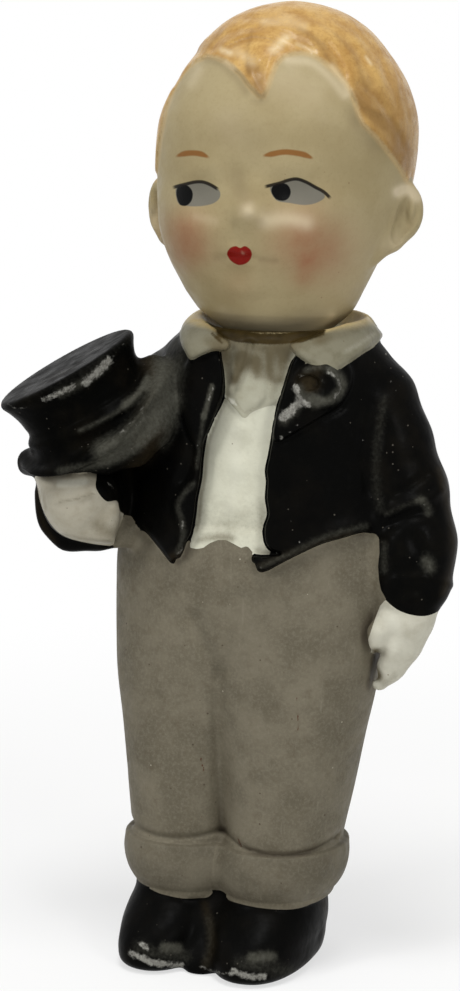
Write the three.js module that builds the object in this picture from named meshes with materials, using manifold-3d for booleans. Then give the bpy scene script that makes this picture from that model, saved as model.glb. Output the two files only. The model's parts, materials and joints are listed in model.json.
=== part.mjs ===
// A bisque nodder: a bridegroom figurine holding a top hat. The body is a slip-cast shell, and the head is a
// separate casting whose round underside sits in a round seat at the neck. An elastic cord, tied to a peg in
// the head and knotted under the shoes, holds the head down, so it nods, tilts and turns about the seat's centre.
// Millimetres, +Z up. The figure faces -Y, and its right arm, which holds the hat, is on the -X side.

import * as THREE from "three";
import { mergeVertices } from "three/addons/utils/BufferGeometryUtils.js";
import Module from "manifold-3d";

const wasm = await Module();
wasm.setup();

// Clay, clearances and facets
const gap = 0.3; // between neighbouring solids
const clayWall = 2.2; // the castings' wall
const cutOverrun = 6; // how far a cutting tool runs past what it cuts
const bodySides = 32;
const limbSides = 16;
const roundSides = 20;
const finest = 1e-4; // corners nearer than this are one corner

// Shoes
const shoes = {
  height: 7, // sole to trouser hem
  halfWidth: 4.7, // of one shoe
  toeReach: 10.4, // forwards of the neck's axis
  heelReach: 7.2,
  apart: 4.5, // of each shoe's middle from the axis
  splay: 4, // degrees that each toe turns out
};
const lean = 3.8; // degrees that the body casting leans to the figure's left
const knot = { radius: 1.9, height: 2.2 };
const cordRadius = 0.5;

// Trousers with turn-ups
const trousers = { length: 34.5, halfWidth: 12.7, halfDepth: 7.6, creaseWidth: 2.6 };
const turnUps = { height: 5.2, thickness: 0.6 };

// Torso, and the seat that the head turns in
const torso = { height: 18.9, halfWidth: 10.6, halfDepth: 7.4 };
const neck = { ballRadius: 8.4, seatRimRadius: 5.8, holeRadius: 3.8, setBack: 0.4, floorThickness: 2.4 };

// Coat, open down the front
const coat = {
  halfWidth: 12.7,
  halfDepth: 9.1,
  pointHalfGap: 4, // half of the opening where the fronts end in points
  pointDrift: 1, // of the opening's foot towards the figure's right
  chestHalfGap: 2.8,
  neckHalfGap: 3.2,
  pointDrop: 2.6, // of the points below the waist
  sideRise: 1.2, // of the hem above the waist at the sides
  backDrop: 1.6, // of the hem below the waist at the back
};
const lapel = { thickness: 0.7, width: 4.6, length: 9.5 };
const collar = {
  topRadius: 8.6,
  bottomRadius: 10.7,
  rise: 1.9, // of its top above the torso
  frontDip: 1.5, // of the top's front below its back
  drop: 2.5,
  topHalfGap: 2.1,
  bottomHalfGap: 3.5,
};
const tie = { halfWidth: 2.3, length: 7.2, thickness: 0.9 };
const button = { radius: 0.75, height: 0.55, pitch: 3.6, count: 3, firstDrop: 8.3 };
const rosette = { radius: 2.8, holeRadius: 1, height: 1.5, side: 6.6, drop: 4, holeDepth: 1.2 };

// Arms and hands
const arm = { radius: 3.7, shoulderRadius: 3, cuffRadius: 3.8 };
const hand = { radius: 3.2, palmThickness: 2.7 };

// Top hat, held tilted against the chest
const hat = {
  brimRadius: 8,
  brimThickness: 1,
  brimCurl: 1.5, // the sides curl up by this much, and the front and back dip by it
  crownBaseRadius: 5.9,
  crownWaistRadius: 5.6,
  crownTopRadius: 6.7,
  crownHeight: 7.7,
  bandHeight: 2,
  bandRelief: 0.35,
  leanOut: 28, // degrees
  leanForward: 8,
};

// Head
const head = {
  halfWidth: 12,
  halfDepth: 12.1,
  crownHeight: 23.4, // above the ball's centre
  turn: 2.5, // degrees to the figure's left, at rest
  hairRelief: 0.25,
  hairInlay: 0.75,
};
const ear = { halfWidth: 1.8, halfDepth: 2.5, halfHeight: 3.5, hollowRadius: 1.4 };
const nose = { halfWidth: 1.3, halfHeight: 1.2, reach: 0.7 };
const peg = { radius: 0.8, halfLength: 4 };
const cordHole = { radius: 3 }; // in the head's underside

// Heights that follow from the stack
const hemZ = shoes.height;
const waistZ = hemZ + trousers.length;
const neckZ = waistZ + torso.height;
const seatRadius = neck.ballRadius + gap;
const ballCentreZ = neckZ + Math.sqrt(seatRadius ** 2 - neck.seatRimRadius ** 2);
const leanSlope = Math.tan(THREE.MathUtils.degToRad(lean));
const ballCentre = new THREE.Vector3(leanSlope * ballCentreZ, neck.setBack, ballCentreZ);
const cavityRadius = neck.ballRadius - clayWall + 0.1 * clayWall;

// The bisque's colours and finishes
const finish = (color, roughness, metalness = 0) =>
  new THREE.MeshStandardMaterial({ color, roughness, metalness });
const materials = {
  skin: finish(0xd9ccb0, 0.45),
  hair: finish(0xc9984f, 0.4),
  whitePaint: finish(0xd8d6c6, 0.45),
  blackPaint: finish(0x14130f, 0.3),
  greyPaint: finish(0x7d776a, 0.7),
  elastic: finish(0xcfc6b2, 0.8),
  wood: finish(0xb08a56, 0.7),
};

// Solids from rings and from three.js geometry

function indexedSolid(geometry) {
  const vertProperties = new Float32Array(geometry.getAttribute("position").array);
  const triVerts = new Uint32Array(geometry.index.array);
  return new wasm.Manifold(new wasm.Mesh({ numProp: 3, vertProperties, triVerts }));
}

function solidFrom(geometry, weldWithin = finest) {
  const bare = geometry.index ? geometry.toNonIndexed() : geometry.clone();
  const points = new THREE.BufferGeometry().setAttribute("position", bare.getAttribute("position"));
  return indexedSolid(mergeVertices(points, weldWithin));
}

function geometryOf(solid) {
  const { vertProperties, triVerts, numProp, numVert } = solid.getMesh();
  const positions = new Float32Array(3 * numVert);
  for (let i = 0; i < numVert; i++) positions.set(vertProperties.subarray(i * numProp, i * numProp + 3), 3 * i);
  const geometry = new THREE.BufferGeometry();
  geometry.setAttribute("position", new THREE.BufferAttribute(positions, 3));
  return geometry.setIndex(new THREE.BufferAttribute(new Uint32Array(triVerts), 1));
}

const reshaped = (solid, matrix) => indexedSolid(geometryOf(solid).applyMatrix4(matrix));

// Sideways along X and Y in proportion to the height
const slanted = (alongX, alongY = 0) =>
  new THREE.Matrix4().set(1, 0, alongX, 0, 0, 1, alongY, 0, 0, 0, 1, 0, 0, 0, 0, 1);

// A closed solid through rings that all have as many points, each turning anticlockwise seen from the last ring.
function loft(rings) {
  const sides = rings[0].length;
  const positions = rings.flat().flatMap((p) => [p.x, p.y, p.z]);
  const middle = (ring) =>
    ring.reduce((sum, p) => sum.add(p), new THREE.Vector3()).divideScalar(sides);
  positions.push(...middle(rings[0]).toArray(), ...middle(rings.at(-1)).toArray());
  const bottom = rings.length * sides;
  const top = bottom + 1;
  const lastRing = (rings.length - 1) * sides;
  const index = [];
  for (let j = 0; j < sides; j++) {
    const k = (j + 1) % sides;
    index.push(bottom, k, j, top, lastRing + j, lastRing + k);
    for (let i = 0; i < rings.length - 1; i++) {
      const low = i * sides;
      const high = low + sides;
      index.push(low + j, low + k, high + k, low + j, high + k, high + j);
    }
  }
  const geometry = new THREE.BufferGeometry();
  geometry.setAttribute("position", new THREE.Float32BufferAttribute(positions, 3));
  return solidFrom(geometry.setIndex(index));
}

// A level oval ring. Its front and back can reach differently, and a crease pinches both at the middle.
function oval({ z, halfWidth, front, back = front, x = 0, y = 0, crease = 0, creaseWidth = 1, square = 2 }, sides) {
  const ring = [];
  for (let i = 0; i < sides; i++) {
    const angle = (2 * Math.PI * i) / sides;
    const across = Math.sign(Math.cos(angle)) * Math.abs(Math.cos(angle)) ** (2 / square);
    const along = Math.sign(Math.sin(angle)) * Math.abs(Math.sin(angle)) ** (2 / square);
    const pinch = 1 - crease * Math.exp(-((across * halfWidth) ** 2) / creaseWidth ** 2);
    ring.push(new THREE.Vector3(x + across * halfWidth, y + along * pinch * (along < 0 ? front : back), z));
  }
  return ring;
}

// A tube of changing size along a path. Each station is { at, wide, deep }, and deep is measured nearest to Y.
function limb(stations, grow = 0) {
  const rings = stations.map(({ at, wide, deep = wide }, i) => {
    const before = stations[Math.max(i - 1, 0)].at;
    const after = stations[Math.min(i + 1, stations.length - 1)].at;
    const along = new THREE.Vector3().subVectors(after, before).normalize();
    const side = new THREE.Vector3(1, 0, 0).addScaledVector(along, -along.x).normalize();
    const depth = new THREE.Vector3().crossVectors(along, side);
    const ring = [];
    for (let j = 0; j < limbSides; j++) {
      const angle = (2 * Math.PI * j) / limbSides;
      ring.push(
        at
          .clone()
          .addScaledVector(side, (wide + grow) * Math.cos(angle))
          .addScaledVector(depth, (deep + grow) * Math.sin(angle)),
      );
    }
    return ring;
  });
  return loft(rings);
}

// A plate with an outline drawn in the XZ plane, between two places along Y.
function plate(outline, fromY, toY) {
  const shape = new THREE.Shape(outline.map(([x, z]) => new THREE.Vector2(x, z)));
  const geometry = new THREE.ExtrudeGeometry(shape, { depth: toY - fromY, bevelEnabled: false, curveSegments: 4 });
  geometry.rotateX(Math.PI / 2);
  geometry.translate(0, toY, 0);
  return solidFrom(geometry);
}

function block(low, high) {
  const size = new THREE.Vector3().subVectors(high, low);
  const centre = new THREE.Vector3().addVectors(low, high).multiplyScalar(1 / 2);
  return solidFrom(new THREE.BoxGeometry(size.x, size.y, size.z).translate(centre.x, centre.y, centre.z));
}

function ball(centre, radii) {
  const geometry = new THREE.SphereGeometry(1, roundSides, roundSides / 2);
  geometry.scale(radii.x, radii.y, radii.z);
  return solidFrom(geometry.translate(centre.x, centre.y, centre.z));
}

function rod(x, y, fromZ, toZ, radius) {
  const geometry = new THREE.CylinderGeometry(radius, radius, toZ - fromZ, roundSides);
  geometry.rotateX(Math.PI / 2);
  return solidFrom(geometry.translate(x, y, (fromZ + toZ) / 2));
}

// A turned solid from [radius, height] points, which runs along a direction from a foot.
function turned(profile, foot, direction) {
  const outline = profile.map(([radius, height]) => new THREE.Vector2(radius, height));
  const geometry = new THREE.LatheGeometry(outline, roundSides);
  const turn = new THREE.Quaternion().setFromUnitVectors(new THREE.Vector3(0, 1, 0), direction.clone().normalize());
  return solidFrom(geometry.applyQuaternion(turn).translate(foot.x, foot.y, foot.z));
}


// An outline with each corner moved so that its edges lie further out by a distance.
function widened(outline, distance) {
  const count = outline.length;
  const points = outline.map(([x, z]) => new THREE.Vector2(x, z));
  const turning = THREE.ShapeUtils.isClockWise(points) ? -1 : 1;
  const outward = (from, to) => {
    const edge = new THREE.Vector2().subVectors(to, from).normalize();
    return new THREE.Vector2(edge.y, -edge.x).multiplyScalar(turning);
  };
  return points.map((point, i) => {
    const before = outward(points[(i + count - 1) % count], point);
    const after = outward(point, points[(i + 1) % count]);
    const both = before.clone().add(after);
    const reach = Math.min(2 / both.lengthSq(), 2) * distance;
    return [point.x + both.x * reach, point.y + both.y * reach];
  });
}

// The body is drawn upright, and then leans by a sideways shift in proportion to the height.
const leant = (solid) => reshaped(solid, slanted(leanSlope));

const mirrored = (outline) => outline.map(([x, z]) => [-x, z]).reverse();
const moved = (point, x, y, z) => point.clone().add(new THREE.Vector3(x, y, z));

// Shares: the height within the piece, then width, front and back as shares of the piece's own half sizes
const trouserShares = [
  [0, 0.79, 0.86, 0.2],
  [0.15, 0.825, 0.875, 0.2],
  [0.3, 0.885, 0.91, 0.17],
  [0.45, 0.94, 0.94, 0.12],
  [0.6, 0.985, 0.97, 0.08],
  [0.75, 1.005, 0.99, 0.05],
  [0.88, 1.01, 1, 0.02],
  [1, 0.98, 0.97, 0],
];
const torsoShares = [
  [0, 1.1, 0.98],
  [0.35, 1.02, 1],
  [0.68, 0.98, 1],
  [0.86, 0.9, 1],
  [1, 0.79, 1.1],
];
const coatShares = [
  [-0.22, 1.12, 1.02],
  [0, 1.08, 1],
  [0.22, 1.02, 1],
  [0.46, 0.99, 1.01],
  [0.68, 0.97, 1],
  [0.83, 0.9, 0.98],
  [0.93, 0.8, 0.96],
  [0.97, 0.74, 0.95],
];
const shoeShares = [
  [0, 0.92, 0.93, 0.93],
  [0.13, 1, 1, 1],
  [0.36, 1, 0.98, 1],
  [0.56, 0.95, 0.87, 0.99],
  [0.74, 0.89, 0.71, 0.97],
  [0.88, 0.85, 0.6, 0.94],
  [1, 0.82, 0.54, 0.9],
];
const headShares = [
  [-0.115, 0.633, 0.645, 0.612],
  [-0.073, 0.708, 0.736, 0.678],
  [-0.013, 0.779, 0.818, 0.736],
  [0.056, 0.842, 0.901, 0.81],
  [0.132, 0.9, 0.95, 0.893],
  [0.218, 0.942, 0.971, 0.942],
  [0.325, 0.975, 0.963, 0.975],
  [0.444, 1, 0.988, 1],
  [0.56, 0.992, 0.988, 1],
  [0.688, 0.912, 0.909, 0.926],
  [0.795, 0.783, 0.785, 0.802],
  [0.893, 0.621, 0.62, 0.636],
  [0.957, 0.425, 0.421, 0.43],
  [1, 0.15, 0.15, 0.15],
];

function trouserSolid(grow = 0, fromShare = 0, toShare = 1) {
  const inRange = trouserShares.filter(([share]) => share > fromShare && share < toShare);
  const at = (wanted) => {
    const above = Math.max(trouserShares.findIndex(([share]) => share >= wanted - 1e-9), 1);
    const [low, high] = [trouserShares[above - 1], trouserShares[above]];
    const way = (wanted - low[0]) / (high[0] - low[0]);
    return low.map((value, i) => value + way * (high[i] - value));
  };
  const rows = [at(fromShare), ...inRange, at(toShare)];
  return loft(
    rows.map(([share, width, depth, crease]) =>
      oval(
        {
          z: hemZ + share * trousers.length,
          halfWidth: width * trousers.halfWidth + grow,
          front: depth * trousers.halfDepth + grow,
          crease,
          creaseWidth: trousers.creaseWidth,
          square: 2.2,
        },
        bodySides,
      ),
    ),
  );
}

function torsoSolid(grow = 0) {
  return loft(
    torsoShares.map(([share, width, depth]) =>
      oval(
        {
          z: waistZ + share * torso.height,
          y: share * neck.setBack,
          halfWidth: width * torso.halfWidth + grow,
          front: depth * torso.halfDepth + grow,
        },
        bodySides,
      ),
    ),
  );
}

// The space inside torso and trousers, from the neck seat's floor down to the shoes
function bodyCavity() {
  const inside = trouserSolid(-clayWall).add(torsoSolid(-clayWall));
  const joint = oval(
    {
      z: waistZ - clayWall / 2,
      halfWidth: trouserShares.at(-1)[1] * trousers.halfWidth - 2 * clayWall,
      front: trousers.halfDepth - 2 * clayWall,
    },
    bodySides,
  );
  const passage = loft([joint, joint.map((p) => moved(p, 0, 0, clayWall))]);
  const hemPassage = block(
    new THREE.Vector3(-shoes.apart, -shoes.apart / 2, hemZ - clayWall),
    new THREE.Vector3(shoes.apart, shoes.apart / 2, hemZ + clayWall),
  );
  return inside.add(passage).add(hemPassage);
}

const neckFloorZ = ballCentreZ - seatRadius - neck.floorThickness;

function neckSeatCut() {
  const dish = ball(ballCentre, new THREE.Vector3(seatRadius, seatRadius, seatRadius));
  return dish.add(rod(ballCentre.x, neck.setBack, neckFloorZ - cutOverrun, ballCentreZ, neck.holeRadius));
}

function shoeSolid(side, grow = 0) {
  const turn = THREE.MathUtils.degToRad(-side * shoes.splay);
  const rings = shoeShares.map(([share, width, front, back]) =>
    oval(
      {
        z: share * shoes.height,
        halfWidth: width * shoes.halfWidth + grow,
        front: front * shoes.toeReach + grow,
        back: back * shoes.heelReach + grow,
        square: 2.3,
      },
      bodySides,
    ).map((p) => p.applyAxisAngle(new THREE.Vector3(0, 0, 1), -turn).add(new THREE.Vector3(side * shoes.apart, 0, 0))),
  );
  return loft(rings);
}

const knotRecess = { radius: knot.radius + 3 * gap, depth: knot.height + 3 * gap };

function shoesSolid() {
  const middle = oval({ z: 0, halfWidth: shoes.apart, front: 0.6 * shoes.toeReach, back: 0.8 * shoes.heelReach }, roundSides);
  const bridge = loft([middle, middle.map((p) => moved(p, 0, 0, shoes.height))]);
  const pair = shoeSolid(-1).add(shoeSolid(1)).add(bridge);
  const bore = rod(0, neck.setBack, -cutOverrun, hemZ + cutOverrun, cordRadius + 2 * gap);
  const recess = rod(0, neck.setBack, -cutOverrun, knotRecess.depth, knotRecess.radius);
  return pair.subtract(bore).subtract(recess);
}

// Half of the band that is turned up round the trouser legs
function turnUpSolid(side) {
  const share = turnUps.height / trousers.length;
  const band = trouserSolid(gap + turnUps.thickness, 0, share).subtract(trouserSolid(gap, -share, 2 * share));
  const reach = trousers.halfWidth + cutOverrun;
  const inner = (side * gap) / 2;
  const outer = side * reach;
  return band.intersect(
    block(
      new THREE.Vector3(Math.min(inner, outer), -reach, -cutOverrun),
      new THREE.Vector3(Math.max(inner, outer), reach, waistZ),
    ),
  );
}

// The coat's outside, before its opening and hem are cut
function coatBlank(grow = 0) {
  return loft(
    coatShares.map(([share, width, depth]) =>
      oval(
        {
          z: waistZ + share * torso.height + (share === coatShares.at(-1)[0] ? grow : 0),
          y: share * neck.setBack,
          halfWidth: width * coat.halfWidth + grow,
          front: depth * coat.halfDepth + grow,
        },
        bodySides,
      ),
    ),
  );
}

const openingRows = [
  [-coat.pointDrop - cutOverrun, coat.pointHalfGap, coat.pointDrift],
  [-coat.pointDrop, coat.pointHalfGap, coat.pointDrift],
  [0.35 * torso.height, coat.chestHalfGap, 0.3 * coat.pointDrift],
  [0.7 * torso.height, coat.chestHalfGap, 0],
  [torso.height + cutOverrun, coat.neckHalfGap, 0],
];
const openingOutline = [
  ...openingRows.map(([rise, halfGap, drift]) => [halfGap - drift, waistZ + rise]),
  ...openingRows.map(([rise, halfGap, drift]) => [-halfGap - drift, waistZ + rise]).reverse(),
];

function coatSolid() {
  const reach = coat.halfWidth + coat.halfDepth;
  const lowest = waistZ - coat.pointDrop - 2 * cutOverrun;
  const frontHem = [
    [-reach, lowest],
    [reach, lowest],
    [reach, waistZ + coat.sideRise],
    [coat.halfWidth, waistZ + coat.sideRise],
    [coat.pointHalfGap - coat.pointDrift, waistZ - coat.pointDrop],
    [-coat.pointHalfGap - coat.pointDrift, waistZ - coat.pointDrop],
    [-coat.halfWidth, waistZ + coat.sideRise],
    [-reach, waistZ + coat.sideRise],
  ];
  const backHem = [
    [-reach, lowest],
    [reach, lowest],
    [reach, waistZ + coat.sideRise],
    [coat.halfWidth, waistZ + coat.sideRise],
    [coat.halfWidth / 2, waistZ - coat.backDrop],
    [-coat.halfWidth / 2, waistZ - coat.backDrop],
    [-coat.halfWidth, waistZ + coat.sideRise],
    [-reach, waistZ + coat.sideRise],
  ];
  const cut = coatBlank()
    .subtract(torsoSolid(gap))
    .subtract(trouserSolid(gap))
    .subtract(plate(openingOutline, -reach, 0))
    .subtract(plate(frontHem, -reach, 0))
    .subtract(plate(backHem, 0, reach));
  return cut;
}

// A raised lapel along one edge of the opening, from the collar downwards
function lapelSolid(side) {
  const topZ = neckZ - collar.drop + gap;
  const inner = coat.neckHalfGap;
  const outline = [
    [inner, topZ - lapel.length],
    [inner + 0.6 * lapel.width, topZ - 0.45 * lapel.length],
    [inner + lapel.width, topZ - 0.2 * lapel.length],
    [inner + 0.75 * lapel.width, topZ + 0.2 * lapel.length],
    [inner, topZ + 0.2 * lapel.length],
  ];
  const cut = coatBlank(gap + lapel.thickness)
    .subtract(coatBlank(gap))
    .intersect(plate(side > 0 ? outline : mirrored(outline), -coat.halfDepth - coat.halfWidth, 0))
    .subtract(collarBlank(gap));
  return cut;
}

function collarBlank(grow = 0) {
  const bottomZ = neckZ - collar.drop;
  const topZ = neckZ + collar.rise;
  const ringAt = (z, radius) => oval({ z, y: neck.setBack, halfWidth: radius, front: radius }, bodySides);
  const upperRadius = collar.bottomRadius - 0.2 * (collar.bottomRadius - collar.topRadius);
  return loft([
    ringAt(bottomZ - grow, collar.bottomRadius + grow),
    ringAt(bottomZ + 0.35 * collar.drop, upperRadius + grow),
    ringAt(topZ + grow, collar.topRadius + grow),
  ]);
}

function collarSolid() {
  const topZ = neckZ + collar.rise;
  const bottomZ = neckZ - collar.drop;
  const notch = [
    [-collar.bottomHalfGap, bottomZ - cutOverrun],
    [collar.bottomHalfGap, bottomZ - cutOverrun],
    [collar.bottomHalfGap, bottomZ],
    [collar.topHalfGap, topZ],
    [collar.topHalfGap, topZ + cutOverrun],
    [-collar.topHalfGap, topZ + cutOverrun],
    [-collar.topHalfGap, topZ],
    [-collar.bottomHalfGap, bottomZ],
  ];
  const reach = collar.bottomRadius + cutOverrun;
  const slope = collar.frontDip / (2 * collar.topRadius);
  const sloping = new THREE.Matrix4().set(1, 0, 0, 0, 0, 1, 0, 0, 0, slope, 1, 0, 0, 0, 0, 1);
  sloping.setPosition(0, neck.setBack, topZ - collar.frontDip / 2);
  const slab = block(new THREE.Vector3(-reach, -reach, 0), new THREE.Vector3(reach, reach, cutOverrun));
  const above = reshaped(slab, sloping);
  return collarBlank()
    .subtract(above)
    .subtract(torsoSolid(gap))
    .subtract(coatBlank(gap))
    .subtract(plate(notch, -reach, 0));
}

function tieSolid() {
  const topZ = neckZ - gap;
  const outline = [
    [0, topZ - tie.length],
    [tie.halfWidth, topZ - 0.7 * tie.length],
    [0.7 * tie.halfWidth, topZ],
    [-0.7 * tie.halfWidth, topZ],
    [-tie.halfWidth, topZ - 0.7 * tie.length],
  ];
  return torsoSolid(gap + tie.thickness)
    .intersect(plate(outline, -torso.halfDepth - cutOverrun, 0))
    .subtract(torsoSolid(gap));
}

// Where the torso's front lies at a height, on the middle line
function torsoFrontAt(z) {
  const share = (z - waistZ) / torso.height;
  const above = Math.max(torsoShares.findIndex(([s]) => s >= share), 1);
  const [low, high] = [torsoShares[above - 1], torsoShares[above]];
  const depth = low[2] + ((share - low[0]) / (high[0] - low[0])) * (high[2] - low[2]);
  return share * neck.setBack - depth * torso.halfDepth;
}

function buttonSolid(number) {
  const z = neckZ - button.firstDrop - number * button.pitch;
  const foot = new THREE.Vector3(0, torsoFrontAt(z) - gap / 2, z);
  const profile = [
    [0, 0],
    [button.radius, 0],
    [button.radius, button.height / 2],
    [button.radius / 2, button.height],
    [0, button.height],
  ];
  return turned(profile, foot, new THREE.Vector3(0, -1, 0)).subtract(torsoSolid(gap / 2));
}

// The moulded flower with a hole for a real sprig
const rosetteZ = neckZ - rosette.drop;
const rosetteOut = new THREE.Vector3(rosette.side / coat.halfWidth, -1, 0.2).normalize();
const rosetteFoot = new THREE.Vector3(rosette.side, -0.86 * coat.halfDepth, rosetteZ);

function rosetteSolid() {
  const deep = rosette.holeDepth;
  const profile = [
    [0, 0.15 * rosette.height],
    [0, -deep],
    [rosette.radius, -deep],
    [rosette.radius, 0.35 * rosette.height],
    [0.8 * rosette.radius, 0.85 * rosette.height],
    [0.55 * rosette.radius, rosette.height],
    [rosette.holeRadius, 0.85 * rosette.height],
    [rosette.holeRadius, 0.15 * rosette.height],
    [0, 0.15 * rosette.height],
  ].slice(1);
  return turned(profile, rosetteFoot, rosetteOut)
    .subtract(coatBlank(gap))
    .subtract(lapelPad(1, gap))
    .subtract(collarBlank(gap));
}

// The lapel's outside, grown, for what is seated on it
function lapelPad(side, grow) {
  const outline = [
    [0, neckZ - collar.drop - lapel.length],
    [coat.halfWidth, neckZ - collar.drop - lapel.length],
    [coat.halfWidth, neckZ + cutOverrun],
    [0, neckZ + cutOverrun],
  ];
  return coatBlank(gap + lapel.thickness + grow).intersect(
    plate(side > 0 ? outline : mirrored(outline), -coat.halfDepth - coat.halfWidth, 0),
  );
}

// Arms. A station's place is written from the shoulder, as shares of the arm's reach.
const shoulder = new THREE.Vector3(0.66 * coat.halfWidth, neck.setBack, waistZ + 0.79 * torso.height);
const armDrop = 21; // shoulder to the end of a hanging sleeve
const armSpread = trousers.halfWidth + 0.83 * arm.radius - shoulder.x; // the hanging arm keeps beside the trousers
const elbowDrop = 12.3; // of the bent arm's elbow
const forearmReach = 8.8; // of the bent forearm, forwards

const hangingShares = [
  [0, 0, 0],
  [0.22, 0.02, -0.1],
  [0.52, 0.04, -0.29],
  [0.8, 0.02, -0.5],
  [0.95, -0.06, -0.72],
  [1, -0.14, -0.9],
  [0.98, -0.18, -1],
];

function leftSleeve(grow = 0) {
  const radii = [arm.shoulderRadius, arm.radius, arm.radius, arm.radius, arm.radius, arm.cuffRadius, arm.radius];
  return limb(
    hangingShares.map(([out, forward, down], i) => ({
      at: moved(shoulder, out * armSpread, forward * armSpread, down * armDrop),
      wide: radii[i],
    })),
    grow,
  );
}

const leftCuffEnd = moved(shoulder, 0.98 * armSpread, -0.18 * armSpread, -armDrop);

function leftHand(grow = 0) {
  const length = 2.4 * hand.radius;
  const place = (inward, forward, down) => moved(leftCuffEnd, -inward * hand.radius, -forward * hand.radius, -down * length);
  return limb(
    [
      { at: place(0.1, 0, -0.1), wide: 0.8 * hand.radius, deep: 0.8 * hand.palmThickness },
      { at: place(0.25, 0.04, 0.15), wide: 0.95 * hand.radius, deep: hand.palmThickness },
      { at: place(0.5, 0.08, 0.45), wide: hand.radius, deep: hand.palmThickness },
      { at: place(0.75, 0.1, 0.72), wide: 0.85 * hand.radius, deep: 0.9 * hand.palmThickness },
      { at: place(1.05, 0.1, 0.93), wide: 0.45 * hand.radius, deep: 0.5 * hand.palmThickness },
    ],
    grow,
  );
}

const elbow = moved(shoulder, -2 * shoulder.x - 1.08 * armSpread, neck.setBack, -elbowDrop);

function rightSleeve(grow = 0) {
  const mirroredShoulder = moved(shoulder, -2 * shoulder.x, 0, 0);
  return limb(
    [
      { at: mirroredShoulder, wide: arm.shoulderRadius },
      { at: moved(mirroredShoulder, -0.34 * armSpread, 0.06 * armSpread, -0.2 * elbowDrop), wide: arm.radius },
      { at: moved(mirroredShoulder, -0.62 * armSpread, 0.12 * armSpread, -0.54 * elbowDrop), wide: arm.radius },
      { at: moved(elbow, 0.12 * armSpread, 0, 0.16 * elbowDrop), wide: arm.radius },
      { at: moved(elbow, 0.03 * armSpread, -0.32 * forearmReach, 0), wide: arm.radius },
      { at: moved(elbow, 0.1 * armSpread, -0.7 * forearmReach, 0), wide: arm.radius },
      { at: moved(elbow, 0.18 * armSpread, -forearmReach, 0), wide: arm.radius },
    ],
    grow,
  );
}

const rightCuffEnd = moved(elbow, 0.18 * armSpread, -forearmReach, 0);

function rightHand(grow = 0) {
  const place = (inward, forward, up) =>
    moved(rightCuffEnd, inward * hand.radius, -forward * hand.radius, up * hand.radius);
  return limb(
    [
      { at: place(0.05, -0.15, 0.05), wide: 0.95 * hand.radius, deep: 0.95 * hand.radius },
      { at: place(0.15, 0.25, 0.1), wide: 1.08 * hand.radius, deep: 1.05 * hand.radius },
      { at: place(0.25, 0.7, 0.15), wide: 1.05 * hand.radius, deep: hand.radius },
      { at: place(0.35, 1.05, 0.2), wide: 0.6 * hand.radius, deep: 0.6 * hand.radius },
    ],
    grow,
  );
}

// The hat's own axis runs up from the middle of the brim
const hatFoot = moved(rightCuffEnd, 0.1 * hat.brimRadius, 0.17 * hat.brimRadius, 0.875 * hat.brimRadius);

function hatSolid() {
  const ringAt = (radius, height, curl) => {
    const ring = [];
    for (let i = 0; i < roundSides * 1.5; i++) {
      const angle = (2 * Math.PI * i) / (roundSides * 1.5);
      ring.push(
        new THREE.Vector3(radius * Math.cos(angle), radius * Math.sin(angle), height + curl * Math.cos(2 * angle)),
      );
    }
    return ring;
  };
  const { brimRadius, brimThickness, brimCurl, crownBaseRadius, crownWaistRadius, crownTopRadius, crownHeight } = hat;
  const bandRadius = crownBaseRadius + hat.bandRelief;
  const rings = [
    ringAt(0.3 * brimRadius, 0, 0),
    ringAt(0.65 * brimRadius, 0, 0.15 * brimCurl),
    ringAt(0.96 * brimRadius, 0, brimCurl),
    ringAt(brimRadius, 0.5 * brimThickness, brimCurl),
    ringAt(0.96 * brimRadius, brimThickness, brimCurl),
    ringAt(bandRadius, brimThickness, 0.15 * brimCurl),
    ringAt(bandRadius, brimThickness + hat.bandHeight, 0),
    ringAt(crownWaistRadius, brimThickness + 1.15 * hat.bandHeight, 0),
    ringAt(0.5 * (crownWaistRadius + crownTopRadius), 0.8 * crownHeight, 0),
    ringAt(crownTopRadius, 0.94 * crownHeight, 0),
    ringAt(0.93 * crownTopRadius, crownHeight, 0),
    ringAt(0.4 * crownTopRadius, crownHeight, 0),
  ];
  const lean = new THREE.Euler(
    THREE.MathUtils.degToRad(hat.leanForward),
    THREE.MathUtils.degToRad(-hat.leanOut),
    0,
    "YXZ",
  );
  const place = new THREE.Matrix4().makeRotationFromEuler(lean).setPosition(hatFoot);
  return loft(rings.map((ring) => ring.map((p) => p.applyMatrix4(place))))
    .subtract(coatBlank(gap))
    .subtract(lapelPad(-1, gap))
    .subtract(rightSleeve(gap))
    .subtract(rightHand(gap));
}

// Head
function faceBlank(grow = 0) {
  return loft(
    headShares.map(([share, width, front, back], i) =>
      oval(
        {
          z: ballCentreZ + share * head.crownHeight + (i === headShares.length - 1 ? grow : 0),
          x: ballCentre.x,
          y: neck.setBack,
          halfWidth: width * head.halfWidth + grow,
          front: front * head.halfDepth + grow,
          back: back * head.halfDepth + grow,
        },
        bodySides,
      ),
    ),
  );
}

// The hairline, from the bottom of one sideburn over the forehead to the other, as shares of width and height
const hairlineShares = [
  [-1.15, 0.04],
  [-0.87, 0.2],
  [-0.82, 0.5],
  [-0.88, 0.58],
  [-0.86, 0.66],
  [-0.7, 0.72],
  [-0.42, 0.77],
  [-0.2, 0.74],
  [0, 0.67],
  [0.12, 0.64],
  [0.13, 0.7],
  [0.2, 0.76],
  [0.36, 0.8],
  [0.58, 0.76],
  [0.72, 0.66],
  [0.85, 0.52],
  [0.93, 0.4],
  [0.96, 0.24],
  [1.15, 0.04],
];
const earPlaneY = neck.setBack + 0.05 * head.halfDepth;
const napeShare = 0.1;

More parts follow.
